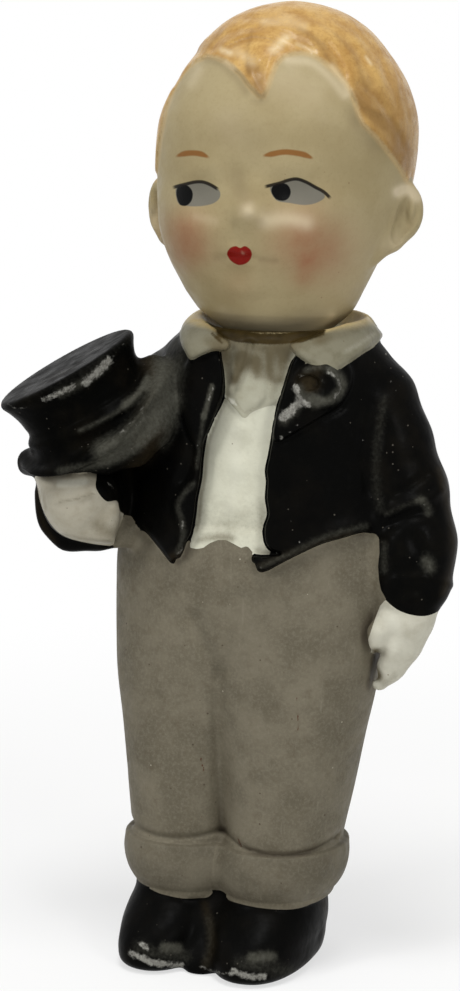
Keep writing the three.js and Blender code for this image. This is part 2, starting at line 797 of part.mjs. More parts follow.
function hairRegion(inset = 0) {
  const reach = 2 * head.halfWidth;
  const outline = hairlineShares.map(([x, z]) => [
    ballCentre.x + x * head.halfWidth,
    ballCentreZ + z * head.crownHeight,
  ]);
  const napeZ = ballCentreZ + napeShare * head.crownHeight + inset;
  const above = block(new THREE.Vector3(-reach, -reach, napeZ), new THREE.Vector3(reach, reach, napeZ + 2 * reach));
  return above.subtract(plate(widened(outline, inset), -reach, earPlaneY + inset));
}

function earSolid(side, grow = 0) {
  const centre = new THREE.Vector3(
    ballCentre.x + side * (head.halfWidth - 0.25 * ear.halfWidth),
    neck.setBack - 0.1 * ear.halfDepth,
    ballCentreZ + 0.175 * head.crownHeight,
  );
  const whole = ball(centre, new THREE.Vector3(ear.halfWidth + grow, ear.halfDepth + grow, ear.halfHeight + grow));
  if (grow) return whole;
  const hollow = ball(
    moved(centre, side * 1.1 * ear.halfWidth, -0.35 * ear.halfDepth, 0),
    new THREE.Vector3(ear.hollowRadius, ear.hollowRadius, 1.4 * ear.hollowRadius),
  );
  return whole.subtract(hollow);
}

function headSolid() {
  const neckBall = ball(ballCentre, new THREE.Vector3(neck.ballRadius, neck.ballRadius, neck.ballRadius));
  const noseTip = new THREE.Vector3(
    ballCentre.x,
    neck.setBack - 0.97 * head.halfDepth,
    ballCentreZ + 0.205 * head.crownHeight,
  );
  const noseSolid = ball(noseTip, new THREE.Vector3(nose.halfWidth, nose.reach, nose.halfHeight));
  const hairSeat = faceBlank(cutOverrun).subtract(faceBlank(-head.hairInlay)).intersect(hairRegion());
  const skullCentre = moved(ballCentre, 0, 0, 0.48 * head.crownHeight);
  const skullRadii = new THREE.Vector3(head.halfWidth, head.halfDepth, 0.52 * head.crownHeight).subScalar(
    clayWall + head.hairInlay,
  );
  const skullCavity = ball(skullCentre, skullRadii);
  const ballCavity = ball(ballCentre, new THREE.Vector3(cavityRadius, cavityRadius, cavityRadius));
  return faceBlank()
    .add(neckBall)
    .add(noseSolid)
    .subtract(hairSeat)
    .add(earSolid(-1))
    .add(earSolid(1))
    .subtract(skullCavity.add(ballCavity))
    .subtract(rod(ballCentre.x, neck.setBack, ballCentreZ - 2 * neck.ballRadius, ballCentreZ, cordHole.radius));
}

function hairSolid() {
  return faceBlank(head.hairRelief)
    .subtract(faceBlank(gap - head.hairInlay))
    .intersect(hairRegion(gap))
    .subtract(earSolid(-1, gap))
    .subtract(earSolid(1, gap));
}

function turnedHead(solid) {
  const { x, y } = ballCentre;
  const turn = new THREE.Matrix4().makeTranslation(x, y, 0);
  turn.multiply(new THREE.Matrix4().makeRotationZ(THREE.MathUtils.degToRad(head.turn)));
  return reshaped(solid, turn.multiply(new THREE.Matrix4().makeTranslation(-x, -y, 0)));
}

// Stringing. The peg lies across the head's inside, low enough that it can't pass the hole.
const pegBottom = Math.sqrt((cavityRadius - gap) ** 2 - peg.halfLength ** 2);
const pegZ = ballCentreZ - pegBottom + peg.radius;
const loopRadius = peg.radius + gap + cordRadius;
const cordSplitZ = neckFloorZ - 2 * cordRadius;

function pegSolid() {
  const geometry = new THREE.CylinderGeometry(peg.radius, peg.radius, 2 * peg.halfLength, limbSides);
  geometry.rotateZ(Math.PI / 2);
  return solidFrom(geometry.translate(ballCentre.x, neck.setBack, pegZ));
}

function cordLoopSolid() {
  const ringGeometry = new THREE.TorusGeometry(loopRadius, cordRadius, 10, roundSides);
  ringGeometry.rotateY(Math.PI / 2);
  const ring = solidFrom(ringGeometry.translate(ballCentre.x, neck.setBack, pegZ));
  return ring.add(rod(ballCentre.x, neck.setBack, cordSplitZ + gap, pegZ - loopRadius, cordRadius));
}

function cordSolid() {
  const top = knotRecess.depth - gap;
  const bottom = top - knot.height;
  const profile = [
    [0, bottom],
    [0.55 * knot.radius, bottom + 0.05 * knot.height],
    [0.95 * knot.radius, bottom + 0.3 * knot.height],
    [knot.radius, bottom + 0.5 * knot.height],
    [0.95 * knot.radius, bottom + 0.7 * knot.height],
    [0.55 * knot.radius, top],
    [cordRadius, top],
    [cordRadius, cordSplitZ],
    [0, cordSplitZ],
  ];
  const upright = turned(profile, new THREE.Vector3(0, neck.setBack, 0), new THREE.Vector3(0, 0, 1));
  return reshaped(upright, slanted(ballCentre.x / cordSplitZ));
}

// The scene graph

const figure = new THREE.Group();

// Corners that a cut leaves very close together become one, and the crumbs beside the piece are dropped.
function tidied(solid) {
  const welded = solidFrom(geometryOf(solid), 40 * finest);
  return welded.decompose().sort((a, b) => b.volume() - a.volume())[0];
}

function addPiece(name, solid, material) {
  const geometry = geometryOf(tidied(solid));
  geometry.computeVertexNormals();
  const piece = new THREE.Mesh(geometry, material);
  piece.name = name;
  figure.add(piece);
}

const cavity = bodyCavity();
const seatBall = ball(ballCentre, new THREE.Vector3(seatRadius, seatRadius, seatRadius));
const clearOfBody = (solid) => solid.subtract(coatBlank(gap)).subtract(trouserSolid(gap));
const { blackPaint, greyPaint, whitePaint } = materials;

addPiece("shoes", leant(shoesSolid()), blackPaint);
addPiece("trousers", leant(trouserSolid().subtract(cavity)), greyPaint);
addPiece("left_turn_up", leant(turnUpSolid(1)), greyPaint);
addPiece("right_turn_up", leant(turnUpSolid(-1)), greyPaint);
addPiece("shirt_torso", leant(torsoSolid().subtract(cavity.subtract(neckFloorBlock()))).subtract(neckSeatCut()), whitePaint);
addPiece("collar", leant(collarSolid()).subtract(seatBall), whitePaint);
addPiece("necktie", leant(tieSolid()), whitePaint);
for (let i = 0; i < button.count; i++) addPiece(`shirt_button_${i + 1}`, leant(buttonSolid(i)), whitePaint);
addPiece("coat", leant(coatSolid()).subtract(seatBall), blackPaint);
addPiece("left_lapel", leant(lapelSolid(1)), blackPaint);
addPiece("right_lapel", leant(lapelSolid(-1)), blackPaint);
addPiece("lapel_flower", leant(rosetteSolid()), blackPaint);
addPiece("left_sleeve", leant(clearOfBody(leftSleeve())), blackPaint);
addPiece("right_sleeve", leant(clearOfBody(rightSleeve())), blackPaint);
addPiece("left_hand", leant(clearOfBody(leftHand().subtract(leftSleeve(gap)))), whitePaint);
addPiece("right_hand", leant(clearOfBody(rightHand().subtract(rightSleeve(gap)))), whitePaint);
addPiece("top_hat", leant(hatSolid()), blackPaint);
addPiece("head", turnedHead(headSolid()), materials.skin);
addPiece("hair", turnedHead(hairSolid()), materials.hair);
addPiece("head_peg", pegSolid(), materials.wood);
addPiece("elastic_loop", cordLoopSolid(), materials.elastic);
addPiece("elastic_cord", cordSolid(), materials.elastic);

// The floor under the neck seat, which closes the cavity but for the cord's hole
function neckFloorBlock() {
  const reach = torso.halfWidth + torso.halfDepth;
  return block(new THREE.Vector3(-reach, -reach, neckFloorZ), new THREE.Vector3(reach, reach, neckZ + cutOverrun));
}

// The origin is the middle of the figure's box, on the surface that it stands on
const box = new THREE.Box3().setFromObject(figure);
figure.position.set(-(box.min.x + box.max.x) / 2, -(box.min.y + box.max.y) / 2, -box.min.z);

export default figure;
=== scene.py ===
import json
import math

import bpy
import numpy as np
import openvdb
from mathutils import Matrix, Vector

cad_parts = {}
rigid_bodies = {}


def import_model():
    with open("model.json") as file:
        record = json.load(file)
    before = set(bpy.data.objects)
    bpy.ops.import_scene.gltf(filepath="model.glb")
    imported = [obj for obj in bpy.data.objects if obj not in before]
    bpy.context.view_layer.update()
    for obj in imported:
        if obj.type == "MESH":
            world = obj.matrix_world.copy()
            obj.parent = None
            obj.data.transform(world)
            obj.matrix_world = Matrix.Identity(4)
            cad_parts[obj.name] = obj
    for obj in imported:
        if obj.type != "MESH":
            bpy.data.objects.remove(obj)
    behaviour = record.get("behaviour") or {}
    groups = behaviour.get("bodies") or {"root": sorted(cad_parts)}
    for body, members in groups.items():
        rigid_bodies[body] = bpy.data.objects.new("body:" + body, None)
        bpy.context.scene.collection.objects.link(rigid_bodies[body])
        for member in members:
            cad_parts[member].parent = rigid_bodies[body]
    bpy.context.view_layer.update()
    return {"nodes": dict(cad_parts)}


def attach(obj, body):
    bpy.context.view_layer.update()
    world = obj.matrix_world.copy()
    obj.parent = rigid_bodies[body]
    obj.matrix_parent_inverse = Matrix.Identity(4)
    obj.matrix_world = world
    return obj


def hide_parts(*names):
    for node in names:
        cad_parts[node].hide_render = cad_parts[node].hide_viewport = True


for spare in list(bpy.data.objects):
    bpy.data.objects.remove(spare)
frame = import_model()
mm = 0.001
print("frame loaded:", len(frame["nodes"]), "nodes")

view = {
    "azimuth": 20.5,  # degrees round to the figure's left
    "pitch": 9.06,  # degrees down
    "roll": 0.9,
    "distance": 237.0,  # from the neck's axis
    "height": 82.4,
    "focal": 2535.0,  # in pixels
    "middle": (233.5, 496.0),  # where the lens's own axis meets the picture
    "picture": (460, 991),
    "sensor": 36,
}
figureAxis = (-1.0712, 0.8229)  # the neck's axis at the floor
leanSlope = math.tan(math.radians(3.8))  # the body leans to its left
neckHeight = 66.885  # of the ball that the head turns on
neckBack = 0.4


def onPicture(x, y, z):
    # where a place on the figure shows in the photograph
    azimuth, pitch, roll = (math.radians(view[k]) for k in ("azimuth", "pitch", "roll"))
    across = x * math.cos(azimuth) + y * math.sin(azimuth)
    away = view["distance"] - (x * math.sin(azimuth) - y * math.cos(azimuth))
    rise = z - view["height"]
    depth = away * math.cos(pitch) - rise * math.sin(pitch)
    right = view["focal"] * across / depth
    down = -view["focal"] * (rise * math.cos(pitch) + away * math.sin(pitch)) / depth
    px = view["middle"][0] + right * math.cos(roll) - down * math.sin(roll)
    py = view["middle"][1] + right * math.sin(roll) + down * math.cos(roll)
    return px, py


def placeAt(px, py, v):
    # the upright place (u, v, z) on the figure that shows at a point of the picture, at the depth v
    azimuth, pitch, roll = (math.radians(view[k]) for k in ("azimuth", "pitch", "roll"))
    dx, dy = px - view["middle"][0], py - view["middle"][1]
    right = (dx * math.cos(roll) + dy * math.sin(roll)) / view["focal"]
    down = (-dx * math.sin(roll) + dy * math.cos(roll)) / view["focal"]
    out = math.cos(pitch) - down * math.sin(pitch)
    x = right * math.cos(azimuth) - out * math.sin(azimuth)
    y = right * math.sin(azimuth) + out * math.cos(azimuth)
    z = -math.sin(pitch) - down * math.cos(pitch)
    startX, startY = view["distance"] * math.sin(azimuth), -view["distance"] * math.cos(azimuth)
    far = (v - startY) / y
    height = view["height"] + far * z
    return startX + far * x - leanSlope * height, v, height


def makeCamera():
    azimuth, pitch, roll = (math.radians(view[k]) for k in ("azimuth", "pitch", "roll"))
    lens = bpy.data.cameras.new("camera")
    wide, tall = view["picture"]
    lens.sensor_width = view["sensor"]
    lens.lens = view["focal"] * view["sensor"] / tall
    lens.shift_x = (wide / 2 - view["middle"][0]) / tall
    lens.shift_y = (view["middle"][1] - tall / 2) / tall
    lens.clip_start, lens.clip_end = 0.005, 20
    camera = bpy.data.objects.new("camera", lens)
    bpy.context.scene.collection.objects.link(camera)
    place = (
        view["distance"] * math.sin(azimuth) + figureAxis[0],
        -view["distance"] * math.cos(azimuth) + figureAxis[1],
        view["height"],
    )
    turn = Matrix.Rotation(azimuth, 4, "Z") @ Matrix.Rotation(math.pi / 2 - pitch, 4, "X")
    camera.matrix_world = Matrix.Translation(Vector(place) * mm) @ turn @ Matrix.Rotation(roll, 4, "Z")
    bpy.context.scene.camera = camera


studio = {
    "floorColour": (0.86, 0.86, 0.85, 1),
    "worldColour": (1.0, 1.0, 1.0, 1),
    "worldLight": 0.4,
    "lamps": [  # name, place, size, watts
        ("overhead", (0.03, -0.12, 0.42), 0.15, 0.95),
        ("frontLeft", (-0.22, -0.38, 0.3), 0.12, 0.66),
        ("frontRight", (0.34, -0.28, 0.22), 0.12, 0.55),
    ],
}


def seenRays(nodes, links):
    # the camera's own rays, and those that a gloss or a glass sends on
    path = nodes.new("ShaderNodeLightPath")
    total = path.outputs["Is Camera Ray"]
    for name in ("Is Glossy Ray", "Is Transmission Ray"):
        add = nodes.new("ShaderNodeMath")
        add.operation = "MAXIMUM"
        links.new(total, add.inputs[0])
        links.new(path.outputs[name], add.inputs[1])
        total = add.outputs["Value"]
    return total


def makeStudio():
    world = bpy.data.worlds.new("studio")
    world.use_nodes = True
    nodes, links = world.node_tree.nodes, world.node_tree.links
    back = nodes["Background"]
    mix = nodes.new("ShaderNodeMix")
    mix.data_type = "FLOAT"
    mix.inputs["A"].default_value = studio["worldLight"]
    mix.inputs["B"].default_value = 1.0
    links.new(seenRays(nodes, links), mix.inputs["Factor"])
    links.new(mix.outputs["Result"], back.inputs["Strength"])
    back.inputs["Color"].default_value = studio["worldColour"]
    bpy.context.scene.world = world
    for name, place, size, watts in studio["lamps"]:
        lamp = bpy.data.lights.new(name, "AREA")
        lamp.shape, lamp.size, lamp.energy = "DISK", size, watts
        holder = bpy.data.objects.new(name, lamp)
        holder.location = place
        aim = Vector((0, 0, 0.05)) - Vector(place)
        holder.rotation_euler = aim.to_track_quat("-Z", "Y").to_euler()
        bpy.context.scene.collection.objects.link(holder)
    bpy.ops.mesh.primitive_plane_add(size=3)
    floor = bpy.context.object
    floor.name = "floor"
    paint = bpy.data.materials.new("floorPaint")
    paint.use_nodes = True
    nodes, links = paint.node_tree.nodes, paint.node_tree.links
    shader = nodes["Principled BSDF"]
    shader.inputs["Base Color"].default_value = studio["floorColour"]
    shader.inputs["Roughness"].default_value = 0.9
    # further off, what the camera sees of the floor goes over into white
    place = nodes.new("ShaderNodeNewGeometry")
    distance = nodes.new("ShaderNodeVectorMath")
    distance.operation = "LENGTH"
    links.new(place.outputs["Position"], distance.inputs[0])
    reach = nodes.new("ShaderNodeMapRange")
    reach.interpolation_type = "SMOOTHSTEP"
    for socket, value in (("From Min", 0.02), ("From Max", 0.16), ("To Min", 0.62), ("To Max", 1.0)):
        reach.inputs[socket].default_value = value
    links.new(distance.outputs["Value"], reach.inputs["Value"])
    share = nodes.new("ShaderNodeMath")
    share.operation = "MULTIPLY"
    links.new(reach.outputs["Result"], share.inputs[0])
    links.new(seenRays(nodes, links), share.inputs[1])
    glow = nodes.new("ShaderNodeEmission")
    mixed = nodes.new("ShaderNodeMixShader")
    links.new(share.outputs["Value"], mixed.inputs["Fac"])
    links.new(shader.outputs["BSDF"], mixed.inputs[1])
    links.new(glow.outputs["Emission"], mixed.inputs[2])
    links.new(mixed.outputs["Shader"], nodes["Material Output"].inputs["Surface"])
    floor.data.materials.append(paint)
    bpy.context.scene.view_settings.view_transform = "Standard"


makeCamera()
makeStudio()
print("camera and studio made")

# lines and outlines are drawn in the picture's pixels, and then laid over the forms
pixelsPerMm = 10.75
margin = 20  # pixels round the picture


def curved(points, closed=True, parts=6):
    points = np.array(points, float)
    count = len(points)
    spans = range(count if closed else count - 1)
    t = np.arange(parts)[:, None] / parts
    made = []
    for i in spans:
        if closed:
            a, b, c, d = (points[(i + k) % count] for k in (-1, 0, 1, 2))
        else:
            a, b, c, d = (points[min(max(i + k, 0), count - 1)] for k in (-1, 0, 1, 2))
        square, cube = 2 * a - 5 * b + 4 * c - d, 3 * b - 3 * c + d - a
        made.append(0.5 * (2 * b + (c - a) * t + square * t**2 + cube * t**3))
    if not closed:
        made.append(points[-1:])
    return np.concatenate(made)


class Drawing:
    # a smooth picture over the photograph's frame, looked up at any place in it
    def __init__(self, low, values, outside):
        self.low, self.values, self.outside = low, values.astype(np.float32), outside

    def on(self, p):
        x, y = p.px - self.low[0], p.py - self.low[1]
        tall, wide = self.values.shape
        within = (x >= 0) & (y >= 0) & (x < wide - 1.001) & (y < tall - 1.001)
        x, y = np.clip(x, 0, wide - 1.001), np.clip(y, 0, tall - 1.001)
        i, j = x.astype(np.int32), y.astype(np.int32)
        fx, fy = (x - i).astype(np.float32), (y - j).astype(np.float32)
        v = self.values
        top = v[j, i] * (1 - fx) + v[j, i + 1] * fx
        low = v[j + 1, i] * (1 - fx) + v[j + 1, i + 1] * fx
        return np.where(within, top * (1 - fy) + low * fy, self.outside)


def edgeDistance(points, gx, gy, closed):
    best = np.full(gx.shape, 1e9)
    inside = np.zeros(gx.shape, bool)
    count = len(points)
    for i in range(count if closed else count - 1):
        a, b = points[i], points[(i + 1) % count]
        ab = b - a
        t = np.clip(((gx - a[0]) * ab[0] + (gy - a[1]) * ab[1]) / max(ab @ ab, 1e-9), 0, 1)
        best = np.minimum(best, (gx - a[0] - t * ab[0]) ** 2 + (gy - a[1] - t * ab[1]) ** 2)
        if closed and a[1] != b[1]:
            crosses = ((a[1] > gy) != (b[1] > gy)) & (gx < ab[0] * (gy - a[1]) / ab[1] + a[0])
            inside ^= crosses
    return np.sqrt(best), inside


def outline(points, soft=True):
    # distance from a closed outline in mm, negative inside it
    reach = 60
    points = curved(points) if soft else np.array(points, float)
    low, high = np.floor(points.min(0)) - reach, np.ceil(points.max(0)) + reach
    gx, gy = np.meshgrid(np.arange(low[0], high[0] + 1), np.arange(low[1], high[1] + 1))
    distance, inside = edgeDistance(points, gx, gy, True)
    return Drawing(low, np.where(inside, -distance, distance) / pixelsPerMm, reach / pixelsPerMm)


def strokes(marks):
    # soft lines: (points, width in mm, strength)
    wide, tall = (side + 2 * margin for side in view["picture"])
    total = np.zeros((tall, wide))
    low = np.array([-margin, -margin], float)
    for points, width, strength in marks:
        points = curved(points, closed=False) if len(points) > 2 else np.array(points, float)
        spread = 3 * width * pixelsPerMm
        x0, y0 = np.maximum(np.floor(points.min(0) - spread - low), 0).astype(int)
        x1, y1 = np.minimum(np.ceil(points.max(0) + spread - low), (wide - 1, tall - 1)).astype(int)
        gx, gy = np.meshgrid(np.arange(x0, x1 + 1) + low[0], np.arange(y0, y1 + 1) + low[1])
        if len(points) == 1:
            distance = np.hypot(gx - points[0][0], gy - points[0][1])
        else:
            distance = edgeDistance(points, gx, gy, False)[0]
        total[y0 : y1 + 1, x0 : x1 + 1] += strength * np.exp(-((distance / (width * pixelsPerMm)) ** 2))
    return Drawing(low, total, 0.0)


farOff = 9.0  # mm, where a field has nothing near


class Spots:
    # many points at once: upright places (u, v, z) on the figure, and where they show in the picture
    def __init__(self, u, v, z, place, shown=None):
        self.u, self.v, self.z, self.place = u, v, z, place
        self.px, self.py = shown or onPicture(*place(u, v, z))

    def part(self, cut):
        shown = self.px[cut], self.py[cut]
        return Spots(self.u[cut[0]], self.v[:, cut[1]], self.z[:, :, cut[2]], self.place, shown)


def bodyPlace(u, v, z):
    return u + leanSlope * z, v + 0 * z, z + 0 * u


def joined(a, b, k):
    # two forms in one, with a fillet of about k mm
    h = np.clip(0.5 + 0.5 * (b - a) / k, 0, 1)
    return b + (a - b) * h - k * h * (1 - h)


def met(a, b, k):
    return -joined(-a, -b, k)


def without(a, b, k):
    return met(a, -b, k)


def curveThrough(rows):
    rows = np.array(rows, float)
    x = rows[:, 0]
    slopes = np.gradient(rows[:, 1:], x, axis=0)

    def at(t):
        t = np.clip(t, x[0], x[-1])
        i = np.clip(np.searchsorted(x, t) - 1, 0, len(x) - 2)
        h = x[i + 1] - x[i]
        s = (t - x[i]) / h
        out = []
        for c in range(rows.shape[1] - 1):
            y, m = rows[:, c + 1], slopes[:, c]
            out.append(
                (2 * s**3 - 3 * s**2 + 1) * y[i]
                + (s**3 - 2 * s**2 + s) * h * m[i]
                + (3 * s**2 - 2 * s**3) * y[i + 1]
                + (s**3 - s**2) * h * m[i + 1]
            )
        return out

    return at


def ringDistance(u, v, wide, deep, power=2.0):
    # from an upright column that is 2 * wide by 2 * deep; a higher power squares it off
    if power == 2.0:
        k = np.sqrt((u / wide) ** 2 + (v / deep) ** 2)
    else:
        k = ((np.abs(u) / wide) ** power + (np.abs(v) / deep) ** power) ** (1 / power)
    r = np.sqrt(u * u + v * v)
    return r - r / np.maximum(k, 1e-3)


def tube(p, stations, k, flat=1.0):
    # along stations (u, v, z, radius), softly joined by k
    found = None
    for (u0, v0, z0, r0), (u1, v1, z1, r1) in zip(stations, stations[1:]):
        du, dv, dz = p.u - u0, p.v - v0, p.z - z0
        a = (u1 - u0, v1 - v0, z1 - z0)
        t = np.clip((du * a[0] + dv * a[1] + dz * a[2]) / (a[0] ** 2 + a[1] ** 2 + a[2] ** 2), 0, 1)
        gone = np.sqrt((du - t * a[0]) ** 2 + ((dv - t * a[1]) / flat) ** 2 + (dz - t * a[2]) ** 2)
        d = gone - (r0 + t * (r1 - r0))
        found = d if found is None else joined(found, d, k)
    return found


def egg(p, centre, radii):
    u, v, z = (p.u - centre[0]) / radii[0], (p.v - centre[1]) / radii[1], (p.z - centre[2]) / radii[2]
    k = np.sqrt(u * u + v * v + z * z)
    return (k - 1) * min(radii)


def bell(x, width):
    return np.exp(-((x / width) ** 2))


def step01(x):
    x = np.clip(x, 0, 1)
    return x * x * (3 - 2 * x)


print("drawing tools ready")

shoes = {
    "rows": [  # height, half width, toe reach, heel reach
        (0, 3.85, 9.4, 6.6),
        (0.6, 4.3, 10.1, 7.1),
        (1.6, 4.55, 10.4, 7.2),
        (2.8, 4.6, 10.15, 7.15),
        (4.0, 4.7, 9.3, 7.1),
        (5.2, 4.6, 8.0, 7.0),
        (6.2, 4.4, 6.8, 6.8),
        (8.5, 4.2, 5.6, 6.4),
    ],
    "apart": 4.5,
    "splay": 3.2,  # degrees
    "leftWider": 0.3,
    "rightWider": 0.1,
    # height, reach of the web between the shoes
    "web": [(0, 8.6), (1.5, 8.2), (3, 7.3), (5, 5.8), (7, 4.6), (9, 4.2)],
    "webSize": (2.6, 5.8),  # half width, reach to the back
    "top": 9.0,
}
trousers = {
    "rows": [  # height, legs' middles, half width, front, back
        (5.5, 4.85, 5.15, 6.3, 6.3),
        (12.2, 5.0, 5.5, 6.65, 6.65),
        (17.35, 5.05, 6.2, 6.95, 6.9),
        (22.5, 4.7, 7.2, 7.2, 7.15),
        (27.7, 3.8, 8.85, 7.4, 7.4),
        (31.5, 2.4, 10.45, 7.55, 7.55),
        (35.5, 0.9, 12.05, 7.6, 7.6),
        (39, 0.3, 12.6, 7.5, 7.55),
        (43, 0.1, 12.2, 7.1, 7.15),
    ],
    # height, how much further out the leg stands there
    "rightOut": [
        (5, -0.95), (8, -0.85), (10.5, -0.5), (12, -0.4), (18, -0.3), (24, 0.05), (29, 0.4), (36, 0.85),
        (39, 1.05), (42, 1.0),
    ],
    "leftOut": [(28, -0.12), (33, 0.25), (39, 0.4)],
    "squareness": 2.15,
    "top": 42.6,
    "foot": 6.6,
    "relief": [
        ([(195, 618), (200, 636), (210, 656), (219, 674)], 0.75, 0.32),
        ([(243, 600), (241, 622), (233, 648), (226, 666)], 0.8, 0.3),
        ([(219, 672), (218, 720), (219, 780), (221, 828)], 0.6, 0.42),
        ([(214, 560), (216, 600), (218, 640)], 1.4, -0.12),
        ([(201, 757), (205, 773)], 0.12, 0.14),
        ([(129, 817), (142, 829), (162, 836), (186, 837), (206, 834), (220, 829)], 0.2, 0.35),
        ([(224, 830), (242, 846), (262, 854), (285, 856), (310, 851), (330, 841), (348, 829)], 0.2, 0.35),
    ],
}
turnUps = {
    "top": 11.85,
    "bottom": 6.9,
    # share of the height, how far out
    "bulge": [(0, -0.4), (0.1, 0.15), (0.25, 0.6), (0.5, 0.9), (0.75, 0.88), (0.95, 0.68), (1.1, 0.6)],
}
torso = {
    "rows": [  # height, half width, depth
        (40, 11.8, 7.1),
        (44, 11.3, 7.36),
        (48.1, 10.85, 7.45),
        (54.3, 10.4, 7.4),
        (57.7, 9.7, 7.5),
        (60.4, 8.6, 8.0),
        (62.5, 8.0, 7.9),
    ],
    "tie": [
        (213, 338), (300, 338), (302, 360), (298, 376), (294, 392), (286, 402), (264, 408), (252, 413),
        (244, 419), (236, 411), (228, 402), (221, 394), (213, 384), (211, 360),
    ],
    "tieThick": 0.35,
    "relief": [
        ([(250, 344), (247, 362), (241, 377), (235, 389)], 0.32, 0.4),
        ([(265, 352), (267, 372), (268, 396), (262, 405)], 0.3, 0.22),
        ([(231, 350), (229, 370), (227, 392)], 0.4, 0.2),
        ([(279, 352), (278, 375), (273, 398)], 0.35, 0.15),
        ([(221, 394), (229, 402), (238, 411), (244, 419)], 0.22, -0.2),
        ([(216, 512), (222, 506), (236, 504), (242, 508)], 0.3, 0.08),
    ],
    "foot": 41.0,
    "top": 61.6,
    "buttons": [(0.0, 52.1), (0.0, 48.5), (0.0, 44.9)],
    "buttonSize": (0.9, 0.4, 0.9),
    "waistLine": [
        (120, 420), (178, 430), (184, 500), (188, 547), (196, 549), (203, 548), (210, 543), (218, 540),
        (226, 540), (234, 544), (241, 548), (247, 546), (251, 550), (254, 557), (262, 560), (278, 559),
        (284, 556), (286, 545), (290, 430), (420, 420),
    ],
}
coat = {
    "rows": [  # height, half width, front, back
        (34, 14.4, 9.2, 9.3),
        (37.3, 14.1, 9.15, 9.25),
        (41.5, 13.6, 9.0, 9.1),
        (45.7, 12.95, 9.0, 9.1),
        (50.2, 12.5, 9.1, 9.15),
        (54.3, 12.1, 9.0, 9.1),
        (57.2, 11.2, 8.8, 8.95),
        (59.1, 10.1, 8.7, 8.75),
        (60.6, 8.9, 8.4, 8.4),
    ],
    "opening": [
        (216, 330), (219, 350), (219, 362), (222, 378), (223, 392), (220, 404), (213, 417), (206, 433),
        (202, 455), (200, 478), (196, 498), (194, 516), (190, 537), (186, 547), (181, 557), (174, 566),
        (180, 640), (240, 640), (256, 571), (250, 562), (251, 556), (262, 557), (276, 556), (284, 553),
        (272, 550), (266, 542), (265, 528), (269, 514), (267, 498), (268, 482), (267, 470), (270, 455),
        (273, 438), (275, 425), (279, 405), (285, 388), (289, 374), (294, 363), (300, 358), (292, 330),
    ],
    "hem": [
        (-40, 395), (60, 470), (104, 503), (117, 502), (122, 512), (133, 519), (146, 531), (160, 548),
        (172, 563), (178, 563), (184, 551), (190, 538), (225, 520), (248, 548), (253, 564), (259, 571),
        (267, 570), (282, 562), (302, 552), (322, 543), (343, 537), (360, 532), (380, 528), (480, 505),
        (480, 760), (-40, 760),
    ],
    "backHem": [
        (-16, 43.0), (-12.5, 42.3), (-7, 40.2), (-2, 39.1), (0, 39.6), (2, 39.1), (7, 40.2), (12.5, 42.3),
        (16, 43.0),
    ],
    "leftLapel": [
        (297, 356), (288, 377), (280, 404), (274, 430), (277, 441), (299, 430), (321, 417), (341, 404),
        (352, 384), (349, 364), (325, 350),
    ],
    "rightLapel": [
        (196, 352), (217, 350), (223, 385), (213, 417), (203, 440), (196, 449), (189, 436), (183, 417),
        (179, 395), (184, 368),
    ],
    "lapelThick": 0.55,
    "top": 60.2,
    "relief": [
        # grooves are positive, ridges negative
        ([(212, 386), (208, 404), (203, 422), (199, 444), (197, 468), (192, 484), (184, 493), (179, 506),
          (181, 522), (183, 536), (178, 551)], 0.45, -0.3),
        ([(183, 418), (190, 432), (194, 446), (192, 462), (184, 480)], 0.5, 0.35),
        ([(186, 372), (180, 398), (172, 424), (160, 446), (148, 462)], 0.6, -0.22),
        ([(168, 432), (158, 452), (146, 470)], 0.8, 0.3),
        ([(340, 407), (318, 418), (298, 432), (279, 443)], 0.4, 0.25),
        ([(372, 405), (366, 425), (364, 450), (368, 490)], 0.6, 0.25),
        ([(270, 560), (300, 546), (335, 531), (374, 522)], 0.7, -0.2),
        ([(300, 372), (304, 361), (316, 361)], 0.6, 0.3),
    ],
}
flower = {
    "middle": (318.5, 386),
    "size": (25.0, 24.5),
    "hole": (308.5, 383),
    "holeSize": (11.0, 7.8),
    "holeDepth": 1.1,
    "thick": 1.25,
    "petals": [
        ([(297, 388), (302, 398), (307, 408)], 0.35, -0.2),
        ([(326, 368), (334, 376), (336, 390)], 0.5, -0.22),
        ([(322, 372), (326, 384), (324, 396)], 0.25, 0.25),
        ([(340, 372), (341, 386), (336, 400)], 0.3, 0.2),
        ([(312, 400), (325, 404), (336, 400)], 0.35, -0.15),
        ([(310, 397), (318, 394), (322, 388)], 0.25, 0.18),
    ],
}
collar = {
    "rows": [(56.5, 11.3), (58.0, 11.0), (59.2, 10.5), (60.4, 9.85), (61.5, 9.15), (62.6, 8.4)],
    "left": [
        (350, 300), (358, 304), (366, 313), (374, 323), (384, 333), (382, 338), (376, 341), (371, 347),
        (364, 352), (354, 359), (344, 366), (336, 370), (325, 367), (312, 364), (301, 358), (294, 352),
        (290, 345), (300, 340), (322, 333), (340, 322),
    ],
    "right": [
        (205, 300), (192, 312), (182, 326), (181, 340), (186, 352), (191, 359), (200, 355), (210, 351),
        (217, 350), (226, 350), (230, 344), (222, 336), (212, 326),
    ],
    "back": 58.3,  # lower edge behind
    "sideRise": 1.5,  # of the lower edge, towards the shoulders
    "top": 62.0,
    "thick": 3.2,
}
